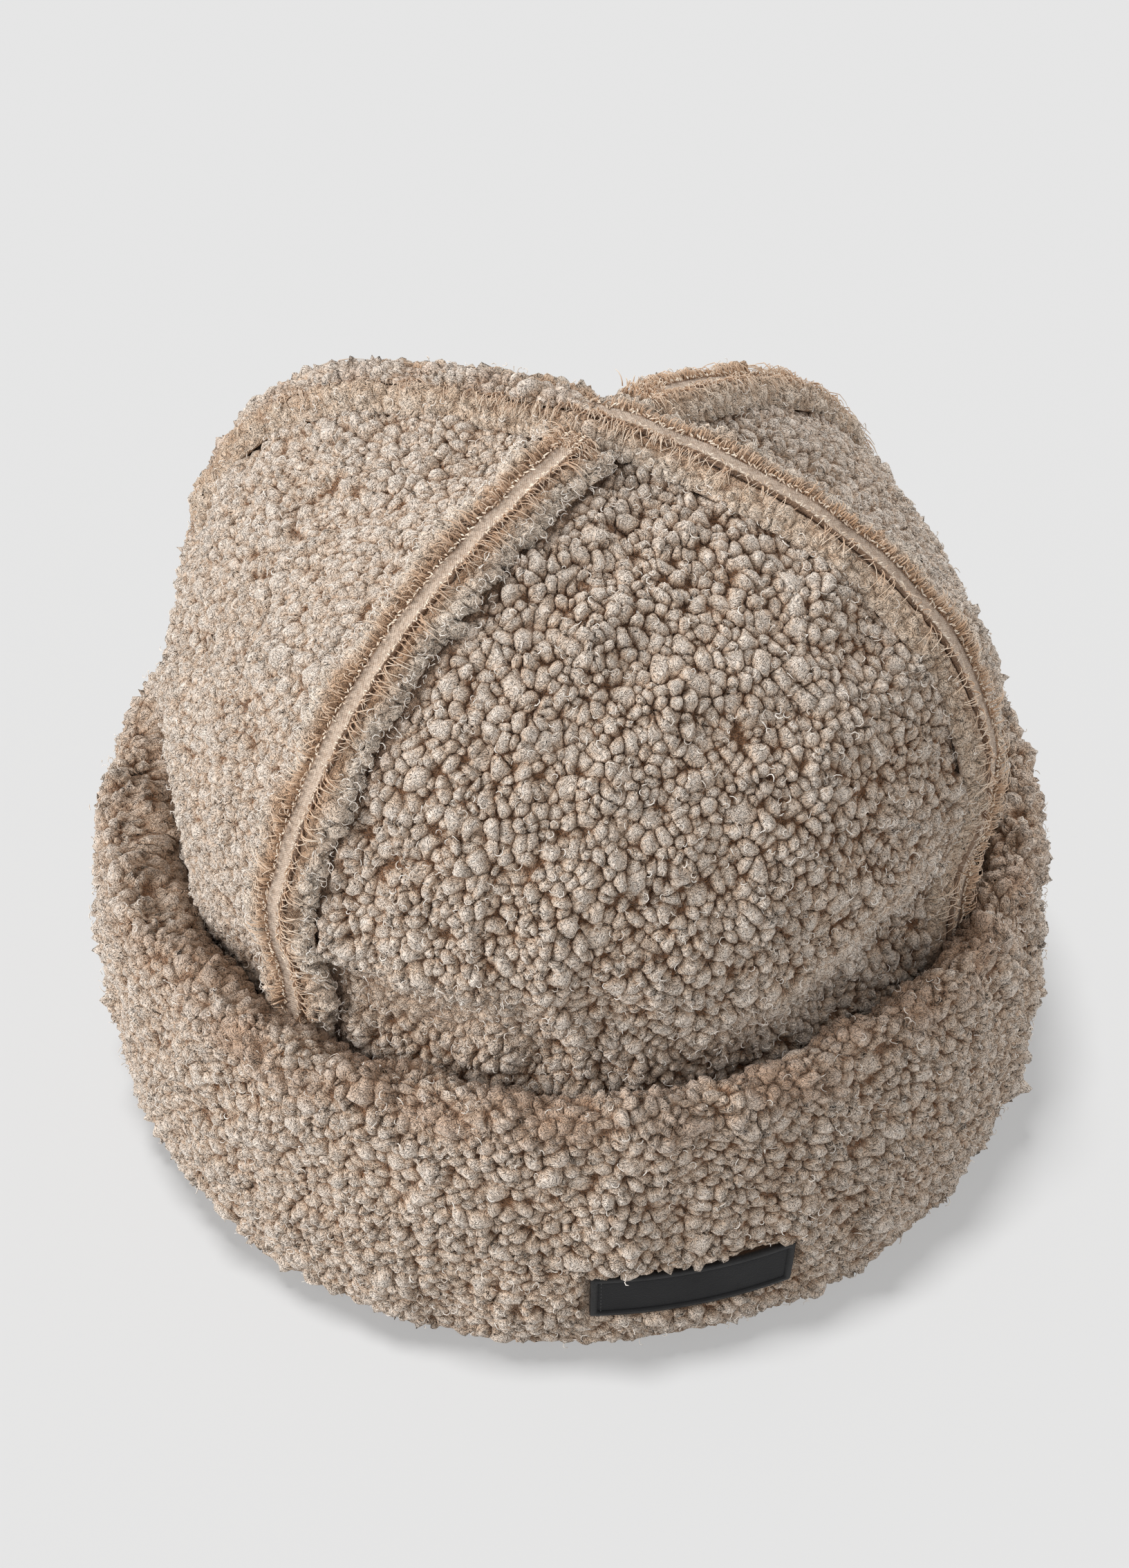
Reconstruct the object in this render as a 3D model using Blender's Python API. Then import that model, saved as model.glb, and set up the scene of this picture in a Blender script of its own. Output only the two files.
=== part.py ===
"""A pile fleece beanie with a deep turned-up cuff, standing on its rim. Metres, +Z up, front towards -Y.

The crown is four fleece panels. Their seam allowances are turned outwards and sewn open, so each seam is a
raised welt of pile with a narrow tape down its middle. The crown stands in a padded cuff, whose foot turns
in under the panels, and a plain patch is set on the cuff's front.

Azimuths are degrees from the front (-Y) towards +X. The crown is star-shaped about the middle of its
shoulder: every point of it is a distance along a ray, and walls, dents and welts are steps along that ray.
"""

import math

import bmesh
import bpy
from mathutils import Vector

# Crown
HEAD_WIDTH = 0.186  # inside width at the shoulder
CROWN_WALL = 0.007  # fleece and pile
CROWN_HEIGHT = 0.1925  # floor to the outer face where the seams cross
SHOULDER_HEIGHT = 0.110  # floor to the widest level
DEPTH_TO_WIDTH = 0.976  # plan, front to back against side to side
CROWN_LEAN_RIGHT = 0.008  # how far the top leans to the right
CROWN_LEAN_FRONT = 0.003  # how far it leans to the front
LEAN_START = 1.06  # height above which the crown leans, as a share of the cuff's
PANEL_GAP = 0.0005  # between neighbouring panels at a seam
CROSSING_HOLE = 0.0035  # radius left open where the four panel tips meet

# Welts and tapes
WELT_WIDTH = 0.018
WELT_HEIGHT = 0.0046
TAPE_WIDTH = 0.0042
TAPE_THICKNESS = 0.0009
TAPE_BED = 0.60  # height of the groove that the tape lies in, as a share of the welt's height
CROSSING_LIFT = 0.0016  # how much the long welt rides up where the seams cross
CROSSING_SPREAD = 0.030  # how far from the crossing it starts to rise

# Cuff
CUFF_HEIGHT = 0.084
CUFF_WALL = 0.0115
CUFF_ROOM = 0.0004  # free space between the seams and the cuff, besides a tape's thickness
CUFF_FLARE = 0.006  # how far the crest stands off further where it leans out most
FOOT_THICKNESS = 0.0075  # the cuff's turned-in foot, under the panels

# Patch
PATCH_WIDTH = 0.050
PATCH_HEIGHT = 0.015
PATCH_THICKNESS = 0.0016
PATCH_RIM = 0.0016  # width of the raised edge
PATCH_RIM_RISE = 0.0005
PATCH_AZIMUTH = 14.5
PATCH_LIFT = 0.0170  # floor to the patch's lower edge
POCKET_DEPTH = 0.0030  # how deep the patch is sunk in the pile
POCKET_SLOPE = 0.0015  # width of the pocket's sloping side

SEAT_GAP = 0.0004  # between a piece and what it is seated on

# Fineness
COLUMNS_IN_CUFF = 60  # besides those of the patch's pocket
COLUMNS_IN_POCKET = 6
ROWS_ABOVE_POCKET = 6
COLUMNS_IN_PANEL = 8
ROWS_IN_WALL = 6
ROWS_IN_DOME = 15
CROWDING = 1.4  # how much the dome's rows crowd towards the crossing; 1 is evenly spaced
SHOULDER_STATION = 0.40  # station that lies at the shoulder; 0 is the panels' lower edge and 1 the crossing
CREST_STEPS = 6
ROWS_INSIDE_CUFF = (0.74, 0.56, 0.38, 0.22)  # shares of the crest's height
SHARP_ANGLE = 50.0  # edges sharper than this aren't shaded smooth

CROWN_REACH = HEAD_WIDTH / 2 + CROWN_WALL
CREST_SHARE = 0.90  # share of the cuff's height where its crest starts to round over
FOOT_CHAMFER = 0.2  # width of the foot's chamfered inner edges, as a share of its thickness
DENT_FADE = 0.30  # dents fade towards the crossing within this share of the shoulder's reach
SEAM_SHARE = 0.3  # the most of a panel's width that the welt at one side may cover
END_SHARE = 0.03  # stretch of stations left free of rows before a welt's end
EDGE_TOLERANCE = 0.001  # how near the pocket's edge, as a share of its half width, still counts as on it

# Seams: azimuth at the lower edge and at the crossing, and fullness, the power of the dome's curve:
# 2 is round, more is squarer and less is hollow.
SEAMS = {
    "front_left": {"foot": -42.0, "top": -41.0, "fullness": 2.30},
    "front_right": {"foot": 64.0, "top": 64.0, "fullness": 2.20},
    "back_right": {"foot": 139.0, "top": 139.0, "fullness": 1.75},
    "back_left": {"foot": 244.0, "top": 244.0, "fullness": 2.90},
}
# Panels: the seams at the two sides, and fullness down the middle.
PANELS = {
    "panel_front": {"from": "front_left", "to": "front_right", "fullness": 1.90},
    "panel_right": {"from": "front_right", "to": "back_right", "fullness": 1.48},
    "panel_back": {"from": "back_right", "to": "back_left", "fullness": 1.15},
    "panel_left": {"from": "back_left", "to": "front_left", "fullness": 1.90},
}
# Wall under the shoulder: height as a share of the shoulder's, reach as a share of the shoulder's.
WALL_ROWS = (
    {"height": 0.00, "reach": 0.930},
    {"height": 0.40, "reach": 0.940},
    {"height": 0.75, "reach": 0.962},
    {"height": 1.00, "reach": 1.000},
)
# Dents and folds of the crown: place and spread as an azimuth and a share of the crown's height, slant as
# how much higher the middle line lies at the end of its turn, depth as a share of the crown's reach. A
# negative depth swells.
DENTS = (
    {"azimuth": -20.0, "height": 0.46, "turn": 22.0, "rise": 0.085, "slant": 0.00, "depth": 0.055},
    {"azimuth": -14.0, "height": 0.575, "turn": 26.0, "rise": 0.050, "slant": -0.02, "depth": -0.020},
    {"azimuth": 46.0, "height": 0.46, "turn": 16.0, "rise": 0.080, "slant": 0.06, "depth": 0.055},
    {"azimuth": 34.0, "height": 0.54, "turn": 24.0, "rise": 0.050, "slant": 0.09, "depth": -0.026},
    {"azimuth": 10.0, "height": 0.66, "turn": 30.0, "rise": 0.110, "slant": 0.00, "depth": -0.015},
    {"azimuth": 190.0, "height": 0.93, "turn": 34.0, "rise": 0.060, "slant": 0.00, "depth": 0.090},
    {"azimuth": 150.0, "height": 0.52, "turn": 24.0, "rise": 0.090, "slant": 0.00, "depth": 0.025},
    {"azimuth": 262.0, "height": 0.50, "turn": 26.0, "rise": 0.080, "slant": 0.00, "depth": 0.030},
)
# Cuff by azimuth: crest height as a share of CUFF_HEIGHT, flare as a share of CUFF_FLARE.
CUFF_ROWS = (
    {"azimuth": 0.0, "crest": 0.98, "flare": 0.10},
    {"azimuth": 40.0, "crest": 0.99, "flare": 0.05},
    {"azimuth": 80.0, "crest": 1.01, "flare": 0.05},
    {"azimuth": 100.0, "crest": 1.01, "flare": 0.00},
    {"azimuth": 140.0, "crest": 1.04, "flare": 0.30},
    {"azimuth": 190.0, "crest": 1.05, "flare": 0.35},
    {"azimuth": 240.0, "crest": 1.02, "flare": 0.60},
    {"azimuth": 280.0, "crest": 0.98, "flare": 0.70},
    {"azimuth": 320.0, "crest": 0.97, "flare": 0.30},
    {"azimuth": 360.0, "crest": 0.98, "flare": 0.10},
)
# Cuff section: height as a share of the crest's, thickness as a share of CUFF_WALL, room as the share of
# WELT_HEIGHT that it leaves for the seams. Where that is under 1, the cuff presses the welts flatter.
SECTION_ROWS = (
    {"height": 0.00, "thickness": 0.78, "room": 0.40},
    {"height": 0.10, "thickness": 1.00, "room": 0.74},
    {"height": 0.24, "thickness": 1.16, "room": 1.08},
    {"height": 0.42, "thickness": 1.22, "room": 1.18},
    {"height": 0.62, "thickness": 1.14, "room": 1.12},
    {"height": 0.80, "thickness": 1.03, "room": 0.96},
    {"height": 1.00, "thickness": 0.96, "room": 0.86},
)
# Welt section, half of it: distance out from the tape's groove as a share of what is left, height as a share.
WELT_ROWS = (
    {"across": 0.00, "height": TAPE_BED},
    {"across": 0.44, "height": 1.00},
    {"across": 1.00, "height": 0.40},
)

LOOKS = {
    "fleece": {"colour": (0.46, 0.37, 0.29, 1.0), "roughness": 0.95},
    "cut_pile": {"colour": (0.40, 0.27, 0.18, 1.0), "roughness": 0.95},
    "tape": {"colour": (0.52, 0.42, 0.34, 1.0), "roughness": 0.85},
    "patch": {"colour": (0.012, 0.012, 0.013, 1.0), "roughness": 0.55},
}


def eased(share):
    """0 to 1 with level ends."""
    share = min(max(share, 0.0), 1.0)
    return share * share * (3 - 2 * share)


def through_rows(rows, key, at, column):
    """A smooth curve through the rows of a table, each stretch a cubic that doesn't overshoot."""
    keys = [row[key] for row in rows]
    values = [row[column] for row in rows]
    steps = [(values[i + 1] - values[i]) / (keys[i + 1] - keys[i]) for i in range(len(keys) - 1)]
    at = min(max(at, keys[0]), keys[-1])
    i = max(k for k in range(len(steps)) if keys[k] <= at)

    def slope(k):
        before = steps[max(k - 1, 0)]
        after = steps[min(k, len(steps) - 1)]
        return 2 * before * after / (before + after) if before * after > 0 else 0.0

    width = keys[i + 1] - keys[i]
    u = (at - keys[i]) / width
    return (
        (2 * u**3 - 3 * u**2 + 1) * values[i]
        + (u**3 - 2 * u**2 + u) * width * slope(i)
        + (3 * u**2 - 2 * u**3) * values[i + 1]
        + (u**3 - u**2) * width * slope(i + 1)
    )


def turned(azimuth, start=0.0):
    """The azimuth brought within a full turn above start."""
    return (azimuth - start) % 360.0 + start


def outward(azimuth):
    """Level unit vector that points out at this azimuth."""
    angle = math.radians(azimuth)
    return Vector((math.sin(angle), -math.cos(angle), 0.0))


def lean(height):
    """How far the crown's middle has moved sideways at this height. Nothing moves inside the cuff."""
    start = CUFF_HEIGHT * LEAN_START
    share = eased((height - start) / (CROWN_HEIGHT - start))
    return Vector((CROWN_LEAN_RIGHT * share, -CROWN_LEAN_FRONT * share, 0.0))


def seam_azimuth(seam, station):
    """The seam's azimuth at a station."""
    row = SEAMS[seam]
    return row["foot"] + (row["top"] - row["foot"]) * eased(station)


def fullness(azimuth):
    """The dome's power at this azimuth, from the seams at the panel's sides to its middle."""
    for panel in PANELS.values():
        left, right = SEAMS[panel["from"]], SEAMS[panel["to"]]
        width = turned(right["top"] - left["top"])
        share = turned(azimuth - left["top"]) / width
        if share <= 1.0:
            edge = left["fullness"] + (right["fullness"] - left["fullness"]) * eased(share)
            return panel["fullness"] + (edge - panel["fullness"]) * math.cos(math.pi * share) ** 2
    raise ValueError(f"no panel covers azimuth {azimuth}")


def dent(azimuth, height):
    """How far the fleece is pushed in, in metres."""
    depth = 0.0
    for row in DENTS:
        off = turned(azimuth - row["azimuth"], -180.0) / row["turn"]
        up = (height / CROWN_HEIGHT - row["height"] - row["slant"] * off) / row["rise"]
        depth += row["depth"] * math.exp(-off * off - up * up)
    return depth * CROWN_REACH


def plan_reach(azimuth):
    """The shoulder's reach at this azimuth."""
    return CROWN_REACH * (1 - (1 - DEPTH_TO_WIDTH) * math.cos(math.radians(azimuth)) ** 2)


def wall_reach(azimuth, height):
    """The outer face's distance from the axis, from the floor to the shoulder."""
    share = through_rows(WALL_ROWS, "height", height / SHOULDER_HEIGHT, "reach")
    return plan_reach(azimuth) * share - dent(azimuth, height)


def dome_reach(azimuth, elevation):
    """The outer face's distance from the middle of the shoulder, along a ray at this elevation."""
    power = fullness(azimuth)
    rise = CROWN_HEIGHT - SHOULDER_HEIGHT
    across = math.cos(elevation) / plan_reach(azimuth)
    up = math.sin(elevation) / rise
    ray = (max(across, 0.0) ** power + max(up, 0.0) ** power) ** (-1 / power)
    fade = eased(math.cos(elevation) / DENT_FADE)
    return ray - dent(azimuth, SHOULDER_HEIGHT + rise * math.sin(elevation)) * fade


def crown_point(azimuth, station, lift=0.0):
    """A point of the crown at a station from its lower edge to the crossing, lifted off its outer face."""
    if station < SHOULDER_STATION:
        low = FOOT_THICKNESS + SEAT_GAP
        height = low + (SHOULDER_HEIGHT - low) * station / SHOULDER_STATION
        reach = wall_reach(azimuth, height) + lift
        return outward(azimuth) * reach + Vector((0, 0, height)) + lean(height)
    elevation = math.pi / 2 * (station - SHOULDER_STATION) / (1 - SHOULDER_STATION)
    return on_ray(azimuth, elevation, lift)


def on_ray(azimuth, elevation, lift):
    """A point above the shoulder, on the ray at this azimuth and elevation, lifted off the outer face."""
    reach = dome_reach(azimuth, elevation) + lift
    level = outward(azimuth) * (reach * math.cos(elevation))
    point = level + Vector((0, 0, SHOULDER_HEIGHT + reach * math.sin(elevation)))
    return point + lean(point.z)


def draped(point, lift):
    """The point moved along its ray until it lies this far off the crown's outer face."""
    straight = point - lean(point.z)
    azimuth = math.degrees(math.atan2(straight.x, -straight.y))
    level = math.hypot(straight.x, straight.y)
    if straight.z < SHOULDER_HEIGHT:
        reach = wall_reach(azimuth, straight.z) + lift
        return outward(azimuth) * reach + Vector((0, 0, straight.z)) + lean(point.z)
    return on_ray(azimuth, math.atan2(straight.z - SHOULDER_HEIGHT, level), lift)


def crest_height(azimuth):
    """Floor to the cuff's crest at this azimuth."""
    return CUFF_HEIGHT * through_rows(CUFF_ROWS, "azimuth", turned(azimuth), "crest")


def cuff_reach(azimuth, share, side):
    """Distance from the axis of the cuff's inner (0) or outer (1) face at a share of its crest's height."""
    welts = WELT_HEIGHT * through_rows(SECTION_ROWS, "height", share, "room")
    room = SEAT_GAP + welts + SEAT_GAP + TAPE_THICKNESS + CUFF_ROOM
    flare = CUFF_FLARE * through_rows(CUFF_ROWS, "azimuth", turned(azimuth), "flare") * share**2
    wall = CUFF_WALL * through_rows(SECTION_ROWS, "height", share, "thickness")
    return wall_reach(azimuth, crest_height(azimuth) * share) + room + flare + wall * side


def patch_turn(width):
    """Half the turn, in degrees, that this width takes up round the cuff at the patch's level."""
    share = (PATCH_LIFT + PATCH_HEIGHT / 2) / crest_height(PATCH_AZIMUTH)
    return math.degrees(width / 2 / cuff_reach(PATCH_AZIMUTH, share, 1))


def pocket_floor(azimuth, height):
    """Distance from the axis of the cuff's outer face with the patch's pocket sunk in it."""
    beside = abs(turned(azimuth - PATCH_AZIMUTH, -180.0)) / patch_turn(PATCH_WIDTH + 2 * SEAT_GAP)
    middle = PATCH_LIFT + PATCH_HEIGHT / 2
    above = abs(height - middle) / (PATCH_HEIGHT / 2 + SEAT_GAP)
    sunk = max(beside, above) < 1 + EDGE_TOLERANCE
    return cuff_reach(azimuth, height / crest_height(azimuth), 1) - (POCKET_DEPTH if sunk else 0.0)


def outer_heights(azimuth):
    """Heights of the rows of the cuff's outer face: under the pocket, at its edges, and up to the crest."""
    low, high = PATCH_LIFT - SEAT_GAP, PATCH_LIFT + PATCH_HEIGHT + SEAT_GAP
    rows = [(low - POCKET_SLOPE) / 2, low - POCKET_SLOPE, low, (low + high) / 2, high, high + POCKET_SLOPE]
    top = crest_height(azimuth) * CREST_SHARE
    return rows + [rows[-1] + (top - rows[-1]) * i / ROWS_ABOVE_POCKET for i in range(1, ROWS_ABOVE_POCKET)]


def cuff_azimuths():
    """Azimuths of the cuff's columns: across the pocket, at the feet of its slopes, and round the rest."""
    sunk = patch_turn(PATCH_WIDTH + 2 * SEAT_GAP)
    clear = patch_turn(PATCH_WIDTH + 2 * SEAT_GAP + 2 * POCKET_SLOPE)
    across = [-sunk + 2 * sunk * i / COLUMNS_IN_POCKET for i in range(COLUMNS_IN_POCKET + 1)]
    round_back = [clear + (360.0 - 2 * clear) * i / COLUMNS_IN_CUFF for i in range(COLUMNS_IN_CUFF + 1)]
    return [PATCH_AZIMUTH + turn for turn in across + round_back]


def cuff_section(azimuth):
    """The cuff's closed outline at this azimuth, as (reach, height): foot, outer face, crest, inner face."""
    crest = crest_height(azimuth)
    chamfer = FOOT_THICKNESS * FOOT_CHAMFER
    inner_foot = wall_reach(azimuth, FOOT_THICKNESS) - CROWN_WALL
    outline = [(inner_foot + chamfer, 0.0), (cuff_reach(azimuth, 0.0, 1) - FOOT_THICKNESS / 2, 0.0)]
    outline += [(pocket_floor(azimuth, height), height) for height in outer_heights(azimuth)]
    inner, outer = cuff_reach(azimuth, CREST_SHARE, 0), cuff_reach(azimuth, CREST_SHARE, 1)
    middle, half = (inner + outer) / 2, (outer - inner) / 2
    for step in range(CREST_STEPS + 1):
        angle = math.pi * step / CREST_STEPS
        rise = crest * (1 - CREST_SHARE) * math.sin(angle)
        outline.append((middle + half * math.cos(angle), crest * CREST_SHARE + rise))
    outline += [(cuff_reach(azimuth, share, 0), crest * share) for share in ROWS_INSIDE_CUFF]
    outline.append((wall_reach(azimuth, FOOT_THICKNESS) + SEAT_GAP, FOOT_THICKNESS))
    return outline + [(inner_foot + chamfer, FOOT_THICKNESS), (inner_foot, FOOT_THICKNESS / 2)]


def cuff_middle():
    """The middle of the cuff's outline seen from above, which is set over the origin."""
    rim = [outward(azimuth) * reach for azimuth in cuff_azimuths() for reach, _ in cuff_section(azimuth)]
    low = Vector(min(p[i] for p in rim) for i in range(3))
    high = Vector(max(p[i] for p in rim) for i in range(3))
    return (low + high) / 2


def material(name):
    """The finish of this name, made once."""
    made = bpy.data.materials.get(name)
    if made is None:
        made = bpy.data.materials.new(name)
        made.use_nodes = True
        shader = made.node_tree.nodes["Principled BSDF"]
        shader.inputs["Base Color"].default_value = LOOKS[name]["colour"]
        shader.inputs["Roughness"].default_value = LOOKS[name]["roughness"]
    return made


def lofted(name, rings, finish, middle, joined=False):
    """One solid through rings of points. Each ring runs out along one side and back along the other.

    joined closes the row of rings on itself; otherwise each end is closed by rungs across its ring.
    """
    mesh = bpy.data.meshes.new(name)
    shape = bmesh.new()
    made = [[shape.verts.new(point - middle) for point in ring] for ring in rings]
    count = len(rings[0])
    pairs = list(zip(made, made[1:])) + ([(made[-1], made[0])] if joined else [])
    for one, other in pairs:
        for i in range(count):
            k = (i + 1) % count
            shape.faces.new((one[i], one[k], other[k], other[i]))
    if not joined:
        for ring in (made[0], made[-1]):
            for i in range(count // 2 - 1):
                shape.faces.new((ring[i], ring[i + 1], ring[count - 2 - i], ring[count - 1 - i]))
    bmesh.ops.recalc_face_normals(shape, faces=shape.faces[:])
    shape.to_mesh(mesh)
    shape.free()
    mesh.shade_smooth()
    mesh.set_sharp_from_angle(angle=math.radians(SHARP_ANGLE))
    mesh.materials.append(material(finish))
    made_object = bpy.data.objects.new(name, mesh)
    bpy.context.scene.collection.objects.link(made_object)
    return made_object


def tip_station():
    """The station where the panels stop, a hole's radius short of the crossing."""
    elevation = math.acos(CROSSING_HOLE / (CROWN_HEIGHT - SHOULDER_HEIGHT))
    return SHOULDER_STATION + (1 - SHOULDER_STATION) * elevation / (math.pi / 2)


def stations():
    """Stations of the panels' rows, from the lower edge to the tip."""
    wall = [SHOULDER_STATION * i / ROWS_IN_WALL for i in range(ROWS_IN_WALL)]
    shares = [1 - (1 - i / ROWS_IN_DOME) ** CROWDING for i in range(ROWS_IN_DOME + 1)]
    return wall + [SHOULDER_STATION + (tip_station() - SHOULDER_STATION) * share for share in shares]


def panel_azimuths(name, station):
    """Azimuths of a panel's columns at a station: its two edges, the lines that the welts' rows lie over, and
    even steps between them."""
    row = PANELS[name]
    start = seam_azimuth(row["from"], station)
    width = turned(seam_azimuth(row["to"], station) - start)
    edge = crown_point(start, station)
    level = edge - lean(edge.z)
    per_metre = math.degrees(1 / math.hypot(level.x, level.y))
    trim = PANEL_GAP / 2 * per_metre
    covered = min(WELT_WIDTH / 2 * per_metre, width * SEAM_SHARE)
    beside = [trim] + [covered * share for share in (0.5, 1.0)]
    between = [covered + (width - 2 * covered) * i / COLUMNS_IN_PANEL for i in range(1, COLUMNS_IN_PANEL)]
    return [start + turn for turn in beside + between + [width - turn for turn in beside[::-1]]]


def make_panel(name, middle):
    """One fleece panel: its outer face from seam to seam and back along its inner face, at each station."""
    rings = []
    for station in stations():
        azimuths = panel_azimuths(name, station)
        outer = [crown_point(azimuth, station) for azimuth in azimuths]
        inner = [crown_point(azimuth, station, -CROWN_WALL) for azimuth in azimuths]
        rings.append(outer + inner[::-1])
    lofted(name, rings, "fleece", middle)


def welt_height(point):
    """The welt's height at this point of its seam: less than WELT_HEIGHT where the cuff leaves less room."""
    azimuth = math.degrees(math.atan2(point.x, -point.y))
    share = point.z / crest_height(azimuth)
    room = through_rows(SECTION_ROWS, "height", share, "room") if share < 1 else SECTION_ROWS[-1]["room"]
    above = eased(share - 1)
    return WELT_HEIGHT * min(room + (1 - room) * above, 1.0)


def welt_rows():
    """The welt's section as shares of its half width, from the edge of the tape's groove outwards."""
    groove = (TAPE_WIDTH / 2 + SEAT_GAP) / (WELT_WIDTH / 2)
    return [{"across": groove + (1 - groove) * row["across"], "height": row["height"]} for row in WELT_ROWS]


def seam_path(seam, last):
    """Points of a seam on the crown's outer face, at the panels' own stations and at the last."""
    inside = [station for station in stations()[1:] if last - station > END_SHARE or last == tip_station()]
    ends = [] if last == tip_station() else [last]
    return [crown_point(seam_azimuth(seam, station), station) for station in inside + ends]


def sideways(path, i):
    """Unit vector across the path, level with the face under it."""
    along = path[min(i + 1, len(path) - 1)] - path[max(i - 1, 0)]
    straight = path[i] - lean(path[i].z)
    out = Vector((straight.x, straight.y, max(straight.z - SHOULDER_HEIGHT, 0.0)))
    return along.cross(out).normalized()


def strip(name, path, rows, half_width, bed, height, finish, middle, ends=None):
    """One solid laid along a path: its top from side to side and its underside back, at each point.

    bed and height give how far the underside lies off the crown, and how far the top lies off the underside,
    at a point of the path. ends, where there is one, trims the last ring.
    """
    across = [-row["across"] for row in rows[::-1]] + [row["across"] for row in rows]
    tops = [row["height"] for row in rows[::-1]] + [row["height"] for row in rows]
    rings = []
    for i, point in enumerate(path):
        places = [point + sideways(path, i) * (half_width * share) for share in across]
        if ends and i == len(path) - 1:
            places = ends(places, path[i] - path[i - 1])
        top = [draped(place, bed(point) + height(point) * share) for place, share in zip(places, tops)]
        under = [draped(place, bed(point)) for place in places]
        rings.append(top + under[::-1])
    lofted(name, rings, finish, middle)


def crossing_point():
    """Where the seams cross, on the crown's outer face."""
    return Vector((CROWN_LEAN_RIGHT, -CROWN_LEAN_FRONT, CROWN_HEIGHT))


def make_seam(name, path, middle, ends=None):
    """The welt of turned-out allowances along one seam, and the tape down its middle."""

    def bed(point):
        rise = CROSSING_LIFT * eased(1 - (point - crossing_point()).length / CROSSING_SPREAD)
        return SEAT_GAP + rise

    def tape_bed(point):
        return bed(point) + welt_height(point) * TAPE_BED + SEAT_GAP

    def tape_height(_):
        return TAPE_THICKNESS

    tape_rows = ({"across": 1.0, "height": 1.0},)
    strip(f"seam_welt_{name}", path, welt_rows(), WELT_WIDTH / 2, bed, welt_height, "cut_pile", middle, ends)
    strip(f"seam_tape_{name}", path, tape_rows, TAPE_WIDTH / 2, tape_bed, tape_height, "tape", middle, ends)


def make_seams(middle):
    """One long seam over the top, from the front right to the back left, and two that butt against it."""
    up = seam_path("front_right", tip_station())
    down = seam_path("back_left", tip_station())[::-1]
    make_seam("long", up + down, middle)
    clear = WELT_WIDTH / 2 + 2 * SEAT_GAP
    for name in ("front_left", "back_right"):
        away = Vector((0, 0, 1)).cross(outward(SEAMS["front_right"]["top"]))
        away *= 1 if away.dot(outward(SEAMS[name]["top"])) > 0 else -1
        slant = away.dot(outward(SEAMS[name]["top"]))
        elevation = math.acos(clear / slant / (CROWN_HEIGHT - SHOULDER_HEIGHT))
        last = SHOULDER_STATION + (1 - SHOULDER_STATION) * elevation / (math.pi / 2)

        def mitred(places, along, away=away):
            short = [clear - (place - crossing_point()).dot(away) for place in places]
            return [place + along * (gap / along.dot(away)) for place, gap in zip(places, short)]

        make_seam(name, seam_path(name, last), middle, mitred)


def make_cuff(middle):
    """The cuff: its section carried once round."""
    rings = []
    for azimuth in cuff_azimuths():
        section = cuff_section(azimuth)
        rings.append([outward(azimuth) * reach + Vector((0, 0, height)) for reach, height in section])
    lofted("cuff", rings, "fleece", middle, joined=True)


def make_patch(middle):
    """The plain patch: a thin plate with a raised edge, bent round the floor of its pocket."""
    half, inside = patch_turn(PATCH_WIDTH), patch_turn(PATCH_WIDTH - 2 * PATCH_RIM)
    step = patch_turn(PATCH_RIM_RISE)
    turns = [-half, -inside, -inside + step]
    turns += [inside * (2 * i / COLUMNS_IN_POCKET - 1) for i in range(1, COLUMNS_IN_POCKET)]
    turns += [inside - step, inside, half]
    ups = [0.0, PATCH_RIM, PATCH_RIM + PATCH_RIM_RISE, PATCH_HEIGHT / 2]
    ups += [PATCH_HEIGHT - up for up in ups[2::-1]]
    rings = []
    for turn in turns:
        azimuth = PATCH_AZIMUTH + turn
        outer, inner = [], []
        for up in ups:
            height = PATCH_LIFT + up
            bed = cuff_reach(azimuth, height / crest_height(azimuth), 1) - POCKET_DEPTH + SEAT_GAP
            on_rim = abs(turn) >= inside or not PATCH_RIM < up < PATCH_HEIGHT - PATCH_RIM
            thickness = PATCH_THICKNESS + (PATCH_RIM_RISE if on_rim else 0.0)
            outer.append(outward(azimuth) * (bed + thickness) + Vector((0, 0, height)))
            inner.append(outward(azimuth) * bed + Vector((0, 0, height)))
        rings.append(outer + inner[::-1])
    lofted("patch", rings, "patch", middle)


def main():
    """Clear the scene and build every piece."""
    for old in list(bpy.data.objects):
        bpy.data.objects.remove(old)
    middle = cuff_middle()
    for name in PANELS:
        make_panel(name, middle)
    make_seams(middle)
    make_cuff(middle)
    make_patch(middle)


main()
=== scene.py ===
"""A pile fleece beanie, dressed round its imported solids: pile, curls, seam fringes, tapes and a plain patch.

Lengths are metres, +Z is up and the front faces -Y. Azimuths are degrees from the front towards +X. The crown
is star-shaped about the middle of its shoulder, so a step off its face is a step along a ray from there.
"""

import logging
import math
from dataclasses import dataclass
from enum import Enum, IntEnum

import bpy
import numpy as np
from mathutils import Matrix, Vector

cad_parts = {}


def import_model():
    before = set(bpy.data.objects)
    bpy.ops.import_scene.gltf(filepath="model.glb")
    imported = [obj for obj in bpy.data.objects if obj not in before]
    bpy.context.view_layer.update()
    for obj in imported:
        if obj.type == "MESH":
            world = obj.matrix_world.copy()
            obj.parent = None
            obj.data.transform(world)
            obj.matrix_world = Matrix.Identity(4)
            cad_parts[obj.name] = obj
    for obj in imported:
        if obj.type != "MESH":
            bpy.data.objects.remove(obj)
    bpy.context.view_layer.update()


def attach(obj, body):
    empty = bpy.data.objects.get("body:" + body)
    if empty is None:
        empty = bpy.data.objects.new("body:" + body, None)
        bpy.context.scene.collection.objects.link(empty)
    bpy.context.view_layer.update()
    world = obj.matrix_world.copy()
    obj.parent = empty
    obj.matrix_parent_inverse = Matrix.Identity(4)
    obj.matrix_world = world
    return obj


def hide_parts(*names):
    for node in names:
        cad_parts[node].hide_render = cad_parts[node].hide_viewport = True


Array = np.ndarray
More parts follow.
